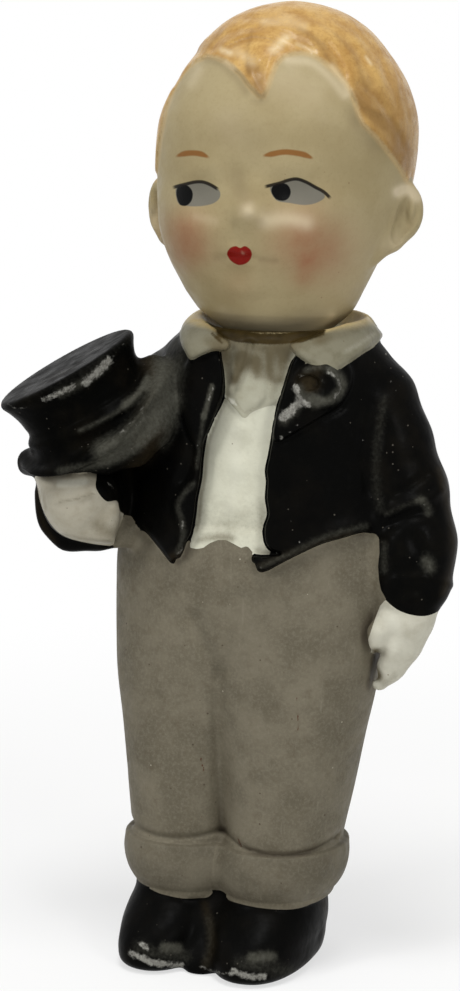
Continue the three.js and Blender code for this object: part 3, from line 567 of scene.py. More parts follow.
leftArm = {
    "stations": [
        (8.3, 0.4, 56.6, 3.15), (9.95, 0.55, 54.2, 3.65), (11.7, 0.7, 50.3, 3.75),
        (13.65, 0.55, 45.9, 3.75), (14.95, -0.05, 41.3, 3.85), (15.35, -0.8, 38.1, 3.85),
    ],
    # on the picture: x, y, then depth and radius
    "hand": [
        (418, 592, -1.2, 2.4), (404, 620, -1.6, 2.6), (397, 644, -1.7, 2.15), (389, 666, -1.6, 1.4),
        (380, 682, -1.4, 0.8),
    ],
    "cuffLine": [
        (340, 480), (480, 480), (470, 570), (457, 591), (450, 602), (437, 612), (425, 616), (412, 615),
        (400, 611), (391, 605), (382, 597), (368, 592), (350, 590),
    ],
    "beside": [
        (352, 530), (373, 531), (379, 538), (379.5, 552), (378, 566), (379, 580), (381, 590), (386, 599),
        (380, 606), (375, 619), (370, 634), (366, 646), (352, 650),
    ],
    "thumb": [(388, 618, -3.2, 1.0), (379, 632, -3.7, 0.95), (377, 643, -3.8, 0.75)],
    "relief": [
        ([(386, 516), (402, 507), (418, 501), (432, 497), (442, 489)], 0.5, -0.35),
        ([(390, 523), (408, 516), (426, 512)], 0.7, 0.3),
        ([(394, 494), (410, 487), (425, 477)], 0.5, 0.3),
        ([(384, 425), (387, 455), (388, 485)], 0.5, 0.22),
        ([(384, 583), (402, 578), (420, 578), (440, 582), (455, 586)], 0.4, -0.15),
        ([(402, 592), (416, 589), (428, 594)], 0.8, 0.4),
        ([(414, 540), (420, 560), (408, 573)], 0.8, 0.3),
        ([(392, 540), (390, 560)], 0.6, -0.15),
    ],
    "handRelief": [
        ([(381, 653), (374, 663), (376, 676)], 0.42, 0.75),
        ([(394, 636), (398, 656), (392, 672)], 0.35, 0.1),
        ([(404, 640), (406, 656), (399, 668)], 0.3, 0.08),
    ],
}
rightArm = {
    "stations": [
        (-8.3, 0.4, 56.6, 3.15), (-10.7, 0.84, 54.0, 3.6), (-12.96, 1.29, 49.8, 3.65),
        (-15.4, 0.8, 46.3, 3.75), (-16.2, -2.0, 44.1, 3.85), (-15.8, -5.4, 43.95, 4.0),
        (-15.45, -9.5, 43.9, 4.05),
    ],
    "cuffFront": -8.4,
    "cuffEdge": [
        (47, 490, -7.6, 1.0), (56, 519, -7.4, 1.1), (70, 535, -7.2, 1.2), (100, 537, -7.0, 1.1),
        (126, 534, -5.6, 1.3),
    ],
    "paint": [
        (38, 466), (92, 466), (96, 488), (106, 501), (117, 501), (121, 512), (135, 519), (131, 530),
        (124, 546), (112, 546), (88, 543), (66, 537), (53, 527), (43, 510), (38, 490),
    ],
    "beside": [(124, 516), (150, 516), (150, 562), (113, 562), (114, 543), (118, 530)],
    "hand": [(-14.95, -7.0, 44.5, 3.0), (-14.7, -8.8, 44.6, 3.35), (-14.3, -9.6, 44.75, 3.2)],
    "fist": {"middle": (-14.6, 44.6), "front": -11.6, "back": -6.5},
    "handSquare": [
        (40, 474), (92, 472), (96, 488), (106, 501), (117, 501), (121, 512), (116, 533), (113, 543),
        (88, 542), (66, 536), (53, 526), (44, 511), (40, 494),
    ],
    "relief": [
        ([(56, 503), (74, 500), (92, 494)], 0.28, 0.22),
        ([(50, 486), (70, 483), (90, 480)], 0.3, 0.08),
        ([(86, 530), (100, 516), (118, 512)], 0.5, 0.12),
    ],
}
hat = {
    "foot": (-13.9, -6.75, 50.95),  # middle of the brim's underside
    "leanOut": 27.5,
    "leanForward": 15,
    "brim": (8.0, 0.85, 1.6),  # radius, thickness, curl
    # height over the brim's underside, radius
    "rows": [
        (-0.5, 6.2), (0.8, 6.1), (1.6, 5.95), (2.6, 5.95), (3.0, 5.6), (4.0, 5.6), (5.2, 5.85), (6.1, 6.2),
        (6.8, 6.55), (7.6, 6.7),
    ],
    "top": 7.35,
    "brimEdge": [(58, 457, -8.0, 0.9), (28.5, 464, -6.8, 0.65), (58, 472, -8.2, 0.9)],
    "sweep": [
        (76, 461, -11.9, 1.0), (106, 457, -11.2, 1.4), (134, 446, -10.0, 1.75), (151, 428, -8.6, 1.9),
        (157, 405, -7.2, 1.9), (157, 383, -5.9, 1.7), (154, 367, -4.9, 1.2),
    ],
    "relief": [
        ([(78, 432), (95, 424), (120, 411), (139, 393), (147, 376)], 0.38, -0.35),
        ([(84, 442), (108, 434), (130, 419), (146, 396)], 0.35, 0.3),
        ([(88, 454), (110, 449), (130, 439), (146, 421)], 0.38, -0.2),
        ([(60, 404), (90, 394), (118, 374)], 0.9, 0.12),
    ],
}

bodyStep = 0.228
seat = {
    "radius": 8.7,
    "wider": 0.45,  # at the top
    "widerFrom": -7.4,  # from the ball's middle
    "widerOver": 2.4,
    "hole": 3.8,  # radius
    "holeFoot": 54.5,
}
sole = {"hollow": 2.8, "hollowTop": 3.1, "hole": 1.1, "holeTop": 6.2}  # radii and heights


def shoesForm(p):
    found = None
    wide, toe, heel = curveThrough(shoes["rows"])(p.z)
    for side in (-1, 1):
        turn = math.radians(side * shoes["splay"])
        du = p.u - side * shoes["apart"]
        u = du * math.cos(turn) + p.v * math.sin(turn)
        v = -du * math.sin(turn) + p.v * math.cos(turn)
        wider = shoes["leftWider" if side > 0 else "rightWider"]
        d = ringDistance(u, v, wide + wider, np.where(v < 0, toe, heel), 2.3)
        found = d if found is None else joined(found, d, 0.9)
    # between the shoes the mould leaves a low web
    (reach,) = curveThrough(shoes["web"])(p.z)
    wide, behind = shoes["webSize"]
    found = joined(found, ringDistance(p.u, p.v, wide, np.where(p.v < 0, reach, behind), 2.5), 1.6)
    found = met(found, p.z - shoes["top"], 0.5)
    return met(found, -p.z, 0.7)


def legsForm(p, grow=0.0):
    middle, wide, front, back = curveThrough(trousers["rows"])(p.z)
    deep = np.where(p.v < 0, front, back) + grow
    rightOut, leftOut = (np.interp(p.z, *np.array(trousers[side]).T) for side in ("rightOut", "leftOut"))
    left = ringDistance(p.u - middle - leftOut, p.v, wide + grow, deep, trousers["squareness"])
    right = ringDistance(p.u + middle + rightOut, p.v, wide + grow, deep, trousers["squareness"])
    return joined(left, right, 1.3)


def trousersForm(p):
    d = met(legsForm(p), p.z - trousers["top"], 0.4)
    d = met(d, trousers["foot"] - p.z, 0.4)
    return d + legRelief.on(p) * (p.v < 0)


def turnUpForm(p, side):
    rise = (p.z - turnUps["bottom"]) / (turnUps["top"] - turnUps["bottom"])
    (bulge,) = curveThrough(turnUps["bulge"])(rise)
    d = legsForm(p, bulge)
    d = met(d, p.z - turnUps["top"] - 0.1, 0.22)
    d = met(d, turnUps["bottom"] - 0.05 - p.z, 0.35)
    return met(d, -0.1 - side * p.u, 0.5)


def chestBack(z):
    # how far the chest leans back on its way to the neck
    return neckBack * (z - torso["foot"]) / 20


def torsoForm(p, grow=0.0):
    wide, deep = curveThrough(torso["rows"])(p.z)
    d = ringDistance(p.u, p.v - chestBack(p.z), wide + grow, deep + grow)
    d = met(d, p.z - torso["top"] - 0.08 * p.v, 0.6)
    return met(d, torso["foot"] - p.z, 0.3) + torsoRelief.on(p) * (p.v < 0)


def tieForm(p):
    return met(torsoForm(p, torso["tieThick"]), np.maximum(tieShape.on(p), p.v + 2), 0.9)


def buttonForm(p, number):
    u, z = torso["buttons"][number]
    deep = float(curveThrough(torso["rows"])(np.array(z))[1])
    return egg(p, (u, chestBack(z) - deep + 0.2, z), torso["buttonSize"])


def coatColumn(p, grow=0.0):
    wide, front, back = curveThrough(coat["rows"])(p.z)
    v = p.v - chestBack(p.z)
    d = ringDistance(p.u, v, wide + grow, np.where(v < 0, front, back) + grow)
    return met(d, p.z - coat["top"] - 0.06 * p.v, 0.7)


def coatForm(p):
    d = coatColumn(p) + coatRelief.on(p) * (p.v < 0)
    d = without(d, np.maximum(openingShape.on(p), p.v - 0.5), 0.5)
    d = without(d, np.maximum(hemShape.on(p), p.v - 1.5), 0.5)
    back = np.interp(p.u, *np.array(coat["backHem"]).T)
    return without(d, np.maximum(p.z - back, 1.5 - p.v), 0.6)


def lapelForm(p, shape):
    return met(coatColumn(p, coat["lapelThick"]), np.maximum(shape.on(p), p.v + 1), 0.45)


def flowerForm(p):
    def rim(middle, size, slope):
        x, y = (p.px - middle[0]) / size[0], (p.py - middle[1]) / size[1]
        return (np.sqrt(x * x + y * y) - 1) * slope

    side = rim(flower["middle"], flower["size"], 2.3)
    d = met(coatColumn(p, flower["thick"]), np.maximum(side, p.v + 1), 0.9) + petalRelief.on(p)
    hole = rim(flower["hole"], flower["holeSize"], 0.85)
    depth = -coatColumn(p, -flower["holeDepth"])
    return without(d, np.maximum(np.maximum(hole, p.v + 1), depth), 0.4)


def collarForm(p):
    (radius,) = curveThrough(collar["rows"])(p.z)
    v = p.v - neckBack
    out = np.sqrt(p.u * p.u + v * v) - radius
    ring = met(out, p.z - (collar["top"] + 0.09 * v), 0.8)
    ring = without(ring, out + collar["thick"], 0.3)
    wings = np.minimum(leftWing.on(p), rightWing.on(p))
    low = collar["back"] + collar["sideRise"] * step01((8.5 - p.v) / 4)
    # the right wing runs into the back edge
    side = low - p.z - 6 * step01((1.5 - p.v) / 2.5) - 6 * step01((p.u + 2) / 2)
    front = met(ring, np.maximum(np.maximum(wings, side), p.v - 4.0), 0.6)
    back = met(ring + 0.2, np.maximum(low - p.z, 4.0 - p.v), 0.6)
    return np.minimum(front, back)


def pictured(rows):
    # stations given on the picture, as places on the figure
    return [(*placeAt(px, py, v), r) for px, py, v, r in rows]


def leftSleeveForm(p):
    return tube(p, leftArm["stations"], 1.5) + leftRelief.on(p) * (p.v < 1)


def leftHandForm(p):
    d = tube(p, pictured(leftArm["hand"]), 1.0, 0.9)
    d = joined(d, tube(p, pictured(leftArm["thumb"]), 0.6), 0.5)
    return d + leftHandRelief.on(p) * (p.v < 1)


def rightSleeveForm(p):
    d = tube(p, rightArm["stations"], 1.6)
    d = joined(d, tube(p, pictured(rightArm["cuffEdge"]), 0.8), 1.0)
    return met(d, rightArm["cuffFront"] - p.v, 0.6)


def rightHandForm(p):
    d = tube(p, rightArm["hand"], 1.0)
    fist = rightArm["fist"]
    knuckles = 0.045 * ((p.u - fist["middle"][0]) ** 2 + (p.z - fist["middle"][1]) ** 2) - (p.v - fist["front"])
    block = met(np.maximum(handShape.on(p), p.v - fist["back"]), knuckles, 1.6)
    return joined(d, block, 0.5) + rightRelief.on(p)


def hatPlaces(p):
    # in the hat's own frame, upright on its brim
    out, forward = math.radians(-hat["leanOut"]), math.radians(hat["leanForward"])
    turn = Matrix.Rotation(out, 3, "Y") @ Matrix.Rotation(forward, 3, "X")
    du, dv, dz = p.u - hat["foot"][0], p.v - hat["foot"][1], p.z - hat["foot"][2]
    return [m[0] * du + m[1] * dv + m[2] * dz for m in turn.transposed()]


def hatForm(p):
    a, b, c = hatPlaces(p)
    r = np.sqrt(a * a + b * b)
    (radius,) = curveThrough(hat["rows"])(c)
    off = np.sqrt((a + 0.3) ** 2 + b * b)
    crown = met((off - radius - 0.3) * 0.97, c - hat["top"], 0.8)
    crown = met(crown, 0.2 - c, 0.4)
    brimRadius, thick, curl = hat["brim"]
    saddle = curl * (np.where(a < 0, 0.2, 1) * a * a - np.where(b < 0, 0.55, 1) * b * b) / brimRadius**2
    level = np.abs(c - saddle - thick / 2) - thick / 2
    brim = met(level * 0.93, r - brimRadius, 0.9)
    d = joined(crown, brim, 0.6)
    d = joined(d, tube(p, pictured(hat["brimEdge"]), 0.8), 2.2)
    d = joined(d, tube(p, pictured(hat["sweep"]), 1.0), 1.5)
    return d + hatRelief.on(p) * (p.v < -2)


legRelief = strokes(trousers["relief"])
torsoRelief = strokes(torso["relief"])
coatRelief = strokes(coat["relief"])
petalRelief = strokes(flower["petals"])
leftRelief = strokes(leftArm["relief"])
leftHandRelief = strokes(leftArm["handRelief"])
rightRelief = strokes(rightArm["relief"])
hatRelief = strokes(hat["relief"])
tieShape = outline(torso["tie"])
openingShape = outline(coat["opening"])
hemShape = outline(coat["hem"])
leftLapelShape = outline(coat["leftLapel"])
rightLapelShape = outline(coat["rightLapel"])
leftWing = outline(collar["left"])
rightWing = outline(collar["right"])
handShape = outline(rightArm["handSquare"])
handPaint = outline(rightArm["paint"])
cuffShape = outline(leftArm["cuffLine"])
besideRight = outline(rightArm["beside"], soft=False)
besideLeft = outline(leftArm["beside"], soft=False)
waistShape = outline(torso["waistLine"] + [(420, 700), (120, 700)], soft=False)

bodyForms = [  # name, box (u, v, z from and to), form, how softly it joins what is there
    ("shoes", (-10.5, 10.8, -11.5, 8.5, -0.6, 9.4), shoesForm, 0.1),
    ("trousers", (-14, 14, -9, 9, 6, 43), trousersForm, 0.3),
    ("left_turn_up", (-1.5, 12.5, -9, 9, 6, 13), lambda p: turnUpForm(p, 1), 0.2),
    ("right_turn_up", (-12.5, 1.5, -9, 9, 6, 13), lambda p: turnUpForm(p, -1), 0.2),
    ("shirt_torso", (-13, 13, -10.5, 10.5, 40, 62.5), torsoForm, 0.5),
    ("necktie", (-4, 7, -10, -1, 51, 62.5), tieForm, 0.3),
    ("shirt_button_1", (-2, 2, -9.5, -5, 50.5, 53.7), lambda p: buttonForm(p, 0), 0.35),
    ("shirt_button_2", (-2, 2, -9.5, -5, 46.9, 50.1), lambda p: buttonForm(p, 1), 0.35),
    ("shirt_button_3", (-2, 2, -9.5, -5, 43.3, 46.5), lambda p: buttonForm(p, 2), 0.35),
    ("coat", (-16, 16, -11.5, 11.5, 35, 61.5), coatForm, 0.3),
    ("left_lapel", (1, 13, -11.5, 1, 47, 61), lambda p: lapelForm(p, leftLapelShape), 0.3),
    ("right_lapel", (-11, 1, -11.5, 1, 47, 61), lambda p: lapelForm(p, rightLapelShape), 0.3),
    ("left_sleeve", (4, 20.5, -6, 6, 33, 61), leftSleeveForm, 1.1),
    ("right_sleeve", (-20.6, -4, -9.5, 6.5, 39, 61), rightSleeveForm, 1.1),
    ("left_hand", (9, 19.5, -6.5, 4, 26, 41), leftHandForm, 0.35),
    ("right_hand", (-20, -9, -14, -5, 39, 50), rightHandForm, 0.3),
    ("collar", (-12.5, 12.5, -12, 12, 56, 63.4), collarForm, 0.3),
    ("lapel_flower", (2, 13, -12.5, 0, 51, 61), flowerForm, 0.3),
    ("top_hat", (-24.5, -6, -16.5, 3.5, 46, 63.4), hatForm, 0.6),
]


def seatCut(p):
    # the round seat that the head nods in, and the cord's hole through it
    du = p.u + leanSlope * (p.z - neckHeight)
    dv = p.v - neckBack
    wider = seat["wider"] * step01((p.z - neckHeight - seat["widerFrom"]) / seat["widerOver"])
    bowl = np.sqrt(du * du + dv * dv + (p.z - neckHeight) ** 2) - seat["radius"] - wider
    hole = np.maximum(np.sqrt(du * du + dv * dv) - seat["hole"], seat["holeFoot"] - p.z)
    return joined(bowl, hole, 0.3)


def soleCut(p):
    # the knot's hollow under the shoes
    r = np.sqrt(p.u * p.u + (p.v - neckBack) ** 2)
    hollow = np.maximum(r - sole["hollow"], p.z - sole["hollowTop"])
    return joined(hollow, np.maximum(r - sole["hole"], p.z - sole["holeTop"]), 0.3)


def makeGrid(low, high, step):
    counts = [int(math.ceil((b - a) / step)) + 1 for a, b in zip(low, high)]
    u = (low[0] + step * np.arange(counts[0], dtype=np.float32))[:, None, None]
    v = (low[1] + step * np.arange(counts[1], dtype=np.float32))[None, :, None]
    z = (low[2] + step * np.arange(counts[2], dtype=np.float32))[None, None, :]
    return u, v, z


def window(low, step, box, shape):
    # the part of a grid that a box covers
    cut = []
    for i in range(3):
        a = max(int((box[2 * i] - low[i]) / step), 0)
        b = min(int((box[2 * i + 1] - low[i]) / step) + 2, shape[i])
        cut.append(slice(a, b))
    return tuple(cut)


def sampled(field, low, step, points):
    p = np.clip((points - np.array(low)) / step, 0, np.array(field.shape) - 1.001)
    i = p.astype(np.int32)
    f = p - i
    total = 0
    for dx in (0, 1):
        for dy in (0, 1):
            for dz in (0, 1):
                a, b, c = (f[:, k] if d else 1 - f[:, k] for k, d in enumerate((dx, dy, dz)))
                total = total + a * b * c * field[i[:, 0] + dx, i[:, 1] + dy, i[:, 2] + dz]
    return total


def unit(vectors):
    return vectors / np.maximum(np.linalg.norm(vectors, axis=1, keepdims=True), 1e-9)


def steepest(field, low, step, points):
    out = np.empty_like(points)
    for k in range(3):
        move = np.zeros(3)
        move[k] = 0.75 * step
        out[:, k] = sampled(field, low, step, points + move) - sampled(field, low, step, points - move)
    return out / (1.5 * step)


def toSurface(field, low, step, points):
    # the way from each point back on to the surface
    slope = steepest(field, low, step, points)
    size = np.maximum((slope**2).sum(1), 0.05)
    return -(sampled(field, low, step, points) / size)[:, None] * slope


def meshed(field, low, step):
    grid = openvdb.FloatGrid(farOff)
    grid.copyFromArray(field, tolerance=0.0)
    points, quads = grid.convertToQuads(isovalue=0.0)
    points = np.asarray(points, float) * step + np.array(low)
    quads = np.asarray(quads, np.int64)
    for again in range(2):
        move = toSurface(field, low, step, points)
        reach = np.maximum(np.linalg.norm(move, axis=1, keepdims=True) / (0.4 * step), 1)
        points = points + move / reach
    normals = unit(steepest(field, low, step, points))
    a, b, c, d = (points[quads[:, i]] for i in range(4))
    facing = (np.cross(c - a, d - b) * normals[quads[:, 0]]).sum(1).mean()
    if facing < 0:
        quads = quads[:, ::-1]
    return points, quads, normals


def makeBody():
    low, high = (-25.2, -17.0, -1.0), (21.2, 12.4, 64.2)
    p = Spots(*makeGrid(low, high, bodyStep), bodyPlace)
    field = np.full(p.px.shape, farOff, np.float32)
    for name, box, form, soft in bodyForms:
        cut = window(low, bodyStep, box, field.shape)
        field[cut] = joined(field[cut], form(p.part(cut)), soft)
    for box, cutter in (((-11, 11, -11, 11, 53, 64.2), seatCut), ((-4, 4, -4, 5, -1, 8), soleCut)):
        cut = window(low, bodyStep, box, field.shape)
        field[cut] = without(field[cut], cutter(p.part(cut)), 0.3)
    print("body field:", field.shape)
    return field, low


headTurn = 2.5  # degrees, to the figure's left
head = {
    "step": 0.2,
    "middle": 9.0,  # height that the profile is measured round
    "rows": [  # height over the ball's middle, half width, front, back
        (-4.1, 6.95, 7.0, 6.8),
        (-2.69, 7.95, 8.0, 7.5),
        (-1.71, 8.55, 8.9, 8.2),
        (-0.3, 9.35, 9.9, 8.9),
        (1.31, 10.1, 10.9, 9.8),
        (3.09, 10.85, 11.5, 10.8),
        (5.1, 11.35, 11.75, 11.4),
        (7.6, 11.7, 11.65, 11.8),
        (10.4, 11.85, 11.9, 12.1),
        (13.1, 11.65, 11.85, 12.0),
        (16.1, 10.55, 10.8, 11.1),
        (18.6, 8.95, 9.3, 9.6),
        (20.9, 7.05, 7.3, 7.6),
        (22.4, 4.9, 5.1, 5.2),
        (23.4, 1.8, 1.8, 1.9),
        (23.6, 0.01, 0.01, 0.01),
    ],
    # height, how far the middle lies to the left
    "lean": [
        (-4.1, -0.85), (-2.69, -1.05), (-0.3, -0.85), (3.09, -0.5), (5.1, -0.3), (7.6, -0.1), (10.4, 0.1),
        (13.1, 0.27), (16.1, 0.5), (18.6, 0.6), (20.9, 0.55), (23.6, 0.6),
    ],
    "neck": ((-0.5, 0.0, 0.0), 7.9),
    "hole": 3.0,  # radius of the hole underneath
    "holeTop": -2.0,
    "hairThick": 0.2,
    "hairEdge": 0.45,  # how far the hair sinks towards its edge
    "relief": [  # grooves are positive, swellings negative
        ([(248, 214)], 1.25, -0.85),
        ([(249, 205), (252, 190)], 1.3, -0.25),
        ([(238, 220)], 0.5, -0.2),
        ([(259, 220)], 0.5, -0.2),
        ([(300, 236)], 3.4, -0.55),
        ([(194, 234)], 3.0, -0.5),
        ([(200, 196)], 1.5, 0.35),
        ([(297, 195)], 1.7, 0.35),
        ([(233, 251)], 0.75, -0.3),
        ([(246, 251)], 0.75, -0.3),
        ([(239, 261)], 0.85, -0.35),
        ([(229, 256), (240, 257), (251, 256)], 0.24, 0.2),
        ([(216, 258), (228, 257), (240, 258), (252, 259), (275, 262)], 0.3, 0.14),
        ([(240, 288)], 2.0, -0.5),
        ([(238, 273)], 1.2, 0.25),
        ([(190, 172), (208, 168)], 1.2, -0.15),
        ([(278, 168), (305, 170)], 1.3, -0.15),
    ],
}
hairLines = {
    "front": [
        (152, 182), (156, 170), (160, 140), (166, 110), (173, 91), (181, 76), (189, 67), (197, 61),
        (207, 57), (216, 58), (225, 62), (240, 74), (247, 84), (254, 92), (259, 97), (264, 97), (268, 88),
        (272, 76), (277, 64), (284, 57), (293, 54), (302, 53), (312, 55), (322, 61), (331, 69), (345, 83),
        (351, 93), (355, 104), (358, 115), (363, 125), (376, 138), (390, 155), (400, 169), (407, 183),
        (470, 205), (470, -60), (90, -60), (90, 182),
    ],
    "behindEar": [(-9, 8.6), (-2, 7.6), (0.5, 7.0), (3.5, 2.6), (8, 2.2), (12, 2.3)],
    "crown": (0.8, 4.5),
    "locks": [
        ([(258, 60), (250, 72), (256, 86), (261, 96)], 0.55, -0.45),
        ([(240, 56), (236, 64), (244, 78)], 0.3, -0.25),
        ([(272, 54), (268, 66), (265, 82)], 0.3, 0.2),
        ([(212, 50), (227, 35), (257, 28), (287, 37), (312, 52)], 0.3, 0.3),
        ([(218, 56), (236, 44), (262, 40), (284, 50)], 0.28, 0.25),
        ([(245, 18), (273, 20), (303, 30), (330, 48), (344, 74)], 0.35, 0.3),
        ([(286, 12), (325, 24), (356, 50), (372, 84)], 0.4, 0.22),
        ([(320, 14), (360, 36), (386, 76), (396, 116)], 0.4, 0.2),
        ([(226, 44), (246, 34), (272, 34), (298, 44)], 0.35, -0.22),
        ([(262, 28), (292, 28), (318, 40), (336, 60)], 0.35, -0.22),
        ([(196, 52), (184, 64), (174, 84)], 0.35, 0.2),
        ([(206, 40), (190, 56), (180, 70)], 0.3, -0.15),
        ([(327, 43), (340, 64), (347, 88)], 0.3, 0.25),
        ([(352, 92), (364, 104), (380, 112)], 0.35, -0.3),
        ([(360, 84), (374, 94), (384, 108)], 0.3, 0.3),
        ([(362, 122), (378, 132), (392, 150)], 0.35, -0.25),
        ([(386, 112), (396, 128), (404, 150)], 0.3, 0.2),
        ([(374, 64), (390, 96), (400, 130)], 0.4, -0.15),
    ],
}


def headPlace(u, v, z):
    c, s = math.cos(math.radians(headTurn)), math.sin(math.radians(headTurn))
    x = leanSlope * neckHeight + c * u - s * v
    y = neckBack + s * u + c * v
    return x + 0 * z, y + 0 * z, z + neckHeight + 0 * (u + v)


def roundProfile():
    # the rows as radii by angle, to the side, the front and the back
    tables = []
    for column in (1, 2, 3):
        rise = np.array([row[0] - head["middle"] for row in head["rows"]])
        out = np.array([row[column] for row in head["rows"]])
        angle = np.arctan2(rise, out)
        tables.append(curveThrough(np.stack([angle, np.hypot(rise, out)], 1)))
    return tables


sideProfile, frontProfile, backProfile = roundProfile()


def skullForm(p, grow=0.0):
    rise = p.z - head["middle"]
    u = p.u - np.interp(p.z, *np.array(head["lean"]).T)
    out = np.sqrt(u * u + p.v * p.v)
    angle = np.arctan2(rise, out)
    (side,) = sideProfile(angle)
    (front,) = frontProfile(angle)
    (back,) = backProfile(angle)
    turn = step01(0.5 - p.v / 3.0)
    ahead = front * turn + back * (1 - turn)
    share = p.v * p.v / np.maximum(out * out, 1e-6)
    radius = 1 / np.sqrt((1 - share) / side**2 + share / ahead**2)
    return np.sqrt(out * out + rise * rise) - radius - grow


ears = {
    "middle": {1: (11.1, 0.1, 5.0), -1: (-11.85, -0.1, 4.9)},  # left, right
    "turn": 42,  # degrees forwards
    # middle (out, backwards, up), radii, steepness
    "shell": ((0, 0, 0), (1.25, 2.3, 2.75), 1.7),
    "bowl": ((1.25, -0.15, -0.15), (0.95, 1.35, 1.75), 1.0),
    "lowBowl": ((1.0, -0.9, -1.8), (0.8, 0.7, 1.2), 0.8),
    "fold": ((0.55, 0.55, 0.1), (0.6, 0.35, 1.2), 0.35),
    # inwards, forwards, down, radius
    "lobe": [(0.1, 0.2, 1.0, 1.3), (0.9, 0.5, 2.6, 1.1), (2.4, 0.6, 3.9, 0.9)],
}


def earForm(p, side):
    middle = ears["middle"][side]
    turn = math.radians(ears["turn"])
    du, dv, c = p.u - middle[0], p.v - middle[1], p.z - middle[2]
    a = side * du * math.cos(turn) - dv * math.sin(turn)  # out of the ear's face
    b = side * du * math.sin(turn) + dv * math.cos(turn)  # across it, backwards

    def lump(name):
        at, size, steep = ears[name]
        return (np.sqrt(sum(((x - m) / r) ** 2 for x, m, r in zip((a, b, c), at, size))) - 1) * steep

    lobe = [(middle[0] - side * i, middle[1] - j, middle[2] - k, radius) for i, j, k, radius in ears["lobe"]]
    d = joined(lump("shell"), tube(p, lobe, 0.5), 0.8)
    d = without(d, joined(lump("bowl"), lump("lowBowl"), 0.6), 0.45)
    return joined(d, lump("fold"), 0.4)


def hairArea(p):
    # under nought where there is hair
    front = hairFront.on(p)
    line = np.interp(p.v, *np.array(hairLines["behindEar"]).T)
    behind = step01((p.v - np.where(p.u < 0, -5.2, 0.5)) / 0.8)
    return front * (1 - behind) + (line - p.z) * 0.75 * behind


def strands(p):
    cu, cv = hairLines["crown"]
    turn = np.arctan2(p.u - cu, -(p.v - cv))
    fall = 24 - p.z
    wave = turn + 0.03 * np.sin(0.9 * fall) + 0.02 * np.sin(3 * turn)
    ridges = 0.55 * np.sin(31 * wave + 1.2 * np.sin(5 * turn))
    ridges += 0.45 * np.sin(53 * wave + 2 * np.sin(4 * turn + 0.3 * fall))
    return 0.022 * ridges * step01(fall / 2.5)


hairFront = outline(hairLines["front"], soft=False)
hairLocks = strokes(hairLines["locks"])
faceRelief = strokes(head["relief"])


def hairForm(p):
    area = hairArea(p)
    edge = step01(0.5 - area / 0.5)
    locks = strands(p) + hairLocks.on(p) * (p.v < -1) * 0.6
    return skullForm(p, head["hairThick"]) + head["hairEdge"] * (1 - edge) + locks * edge


def faceForm(p):
    d = skullForm(p) + faceRelief.on(p) * (p.v < -2)
    (cu, cv, cz), radius = head["neck"]
    ball = np.sqrt((p.u - cu) ** 2 + (p.v - cv) ** 2 + (p.z - cz) ** 2) - radius
    d = joined(d, ball, 1.8)
    for side in (-1, 1):
        d = joined(d, earForm(p, side), 0.9)
    return d


def headCut(p):
    return np.maximum(np.sqrt(p.u**2 + p.v**2) - head["hole"], p.z - head["holeTop"])


headForms = [
    ("head", (-15, 15, -14, 14, -9.2, 25), faceForm, 0.1),
    ("hair", (-15, 15, -14, 14, 1, 25), hairForm, 0.1),
]


def makeHead():
    low, high = (-14.6, -13.6, -9.0), (14.6, 13.6, 24.6)
    step = head["step"]
    p = Spots(*makeGrid(low, high, step), headPlace)
    field = np.minimum(faceForm(p), hairForm(p)).astype(np.float32)
    field = without(field, headCut(p), 0.2).astype(np.float32)
    print("head field:", field.shape)
    return field, low


def flat(points, place):
    return Spots(points[:, 0], points[:, 1], points[:, 2], place)


def nearness(points, forms, place, cuts):
    # each form's own distance at each point, and the cut surfaces given to one of them
    found = np.full((len(forms), len(points)), farOff, np.float32)
    for i, (name, box, form, soft) in enumerate(forms):
        inside = np.ones(len(points), bool)
        for axis in range(3):
            inside &= (points[:, axis] > box[2 * axis]) & (points[:, axis] < box[2 * axis + 1])
        if inside.any():
            found[i, inside] = form(flat(points[inside], place))
    return cuts(found, points, place)


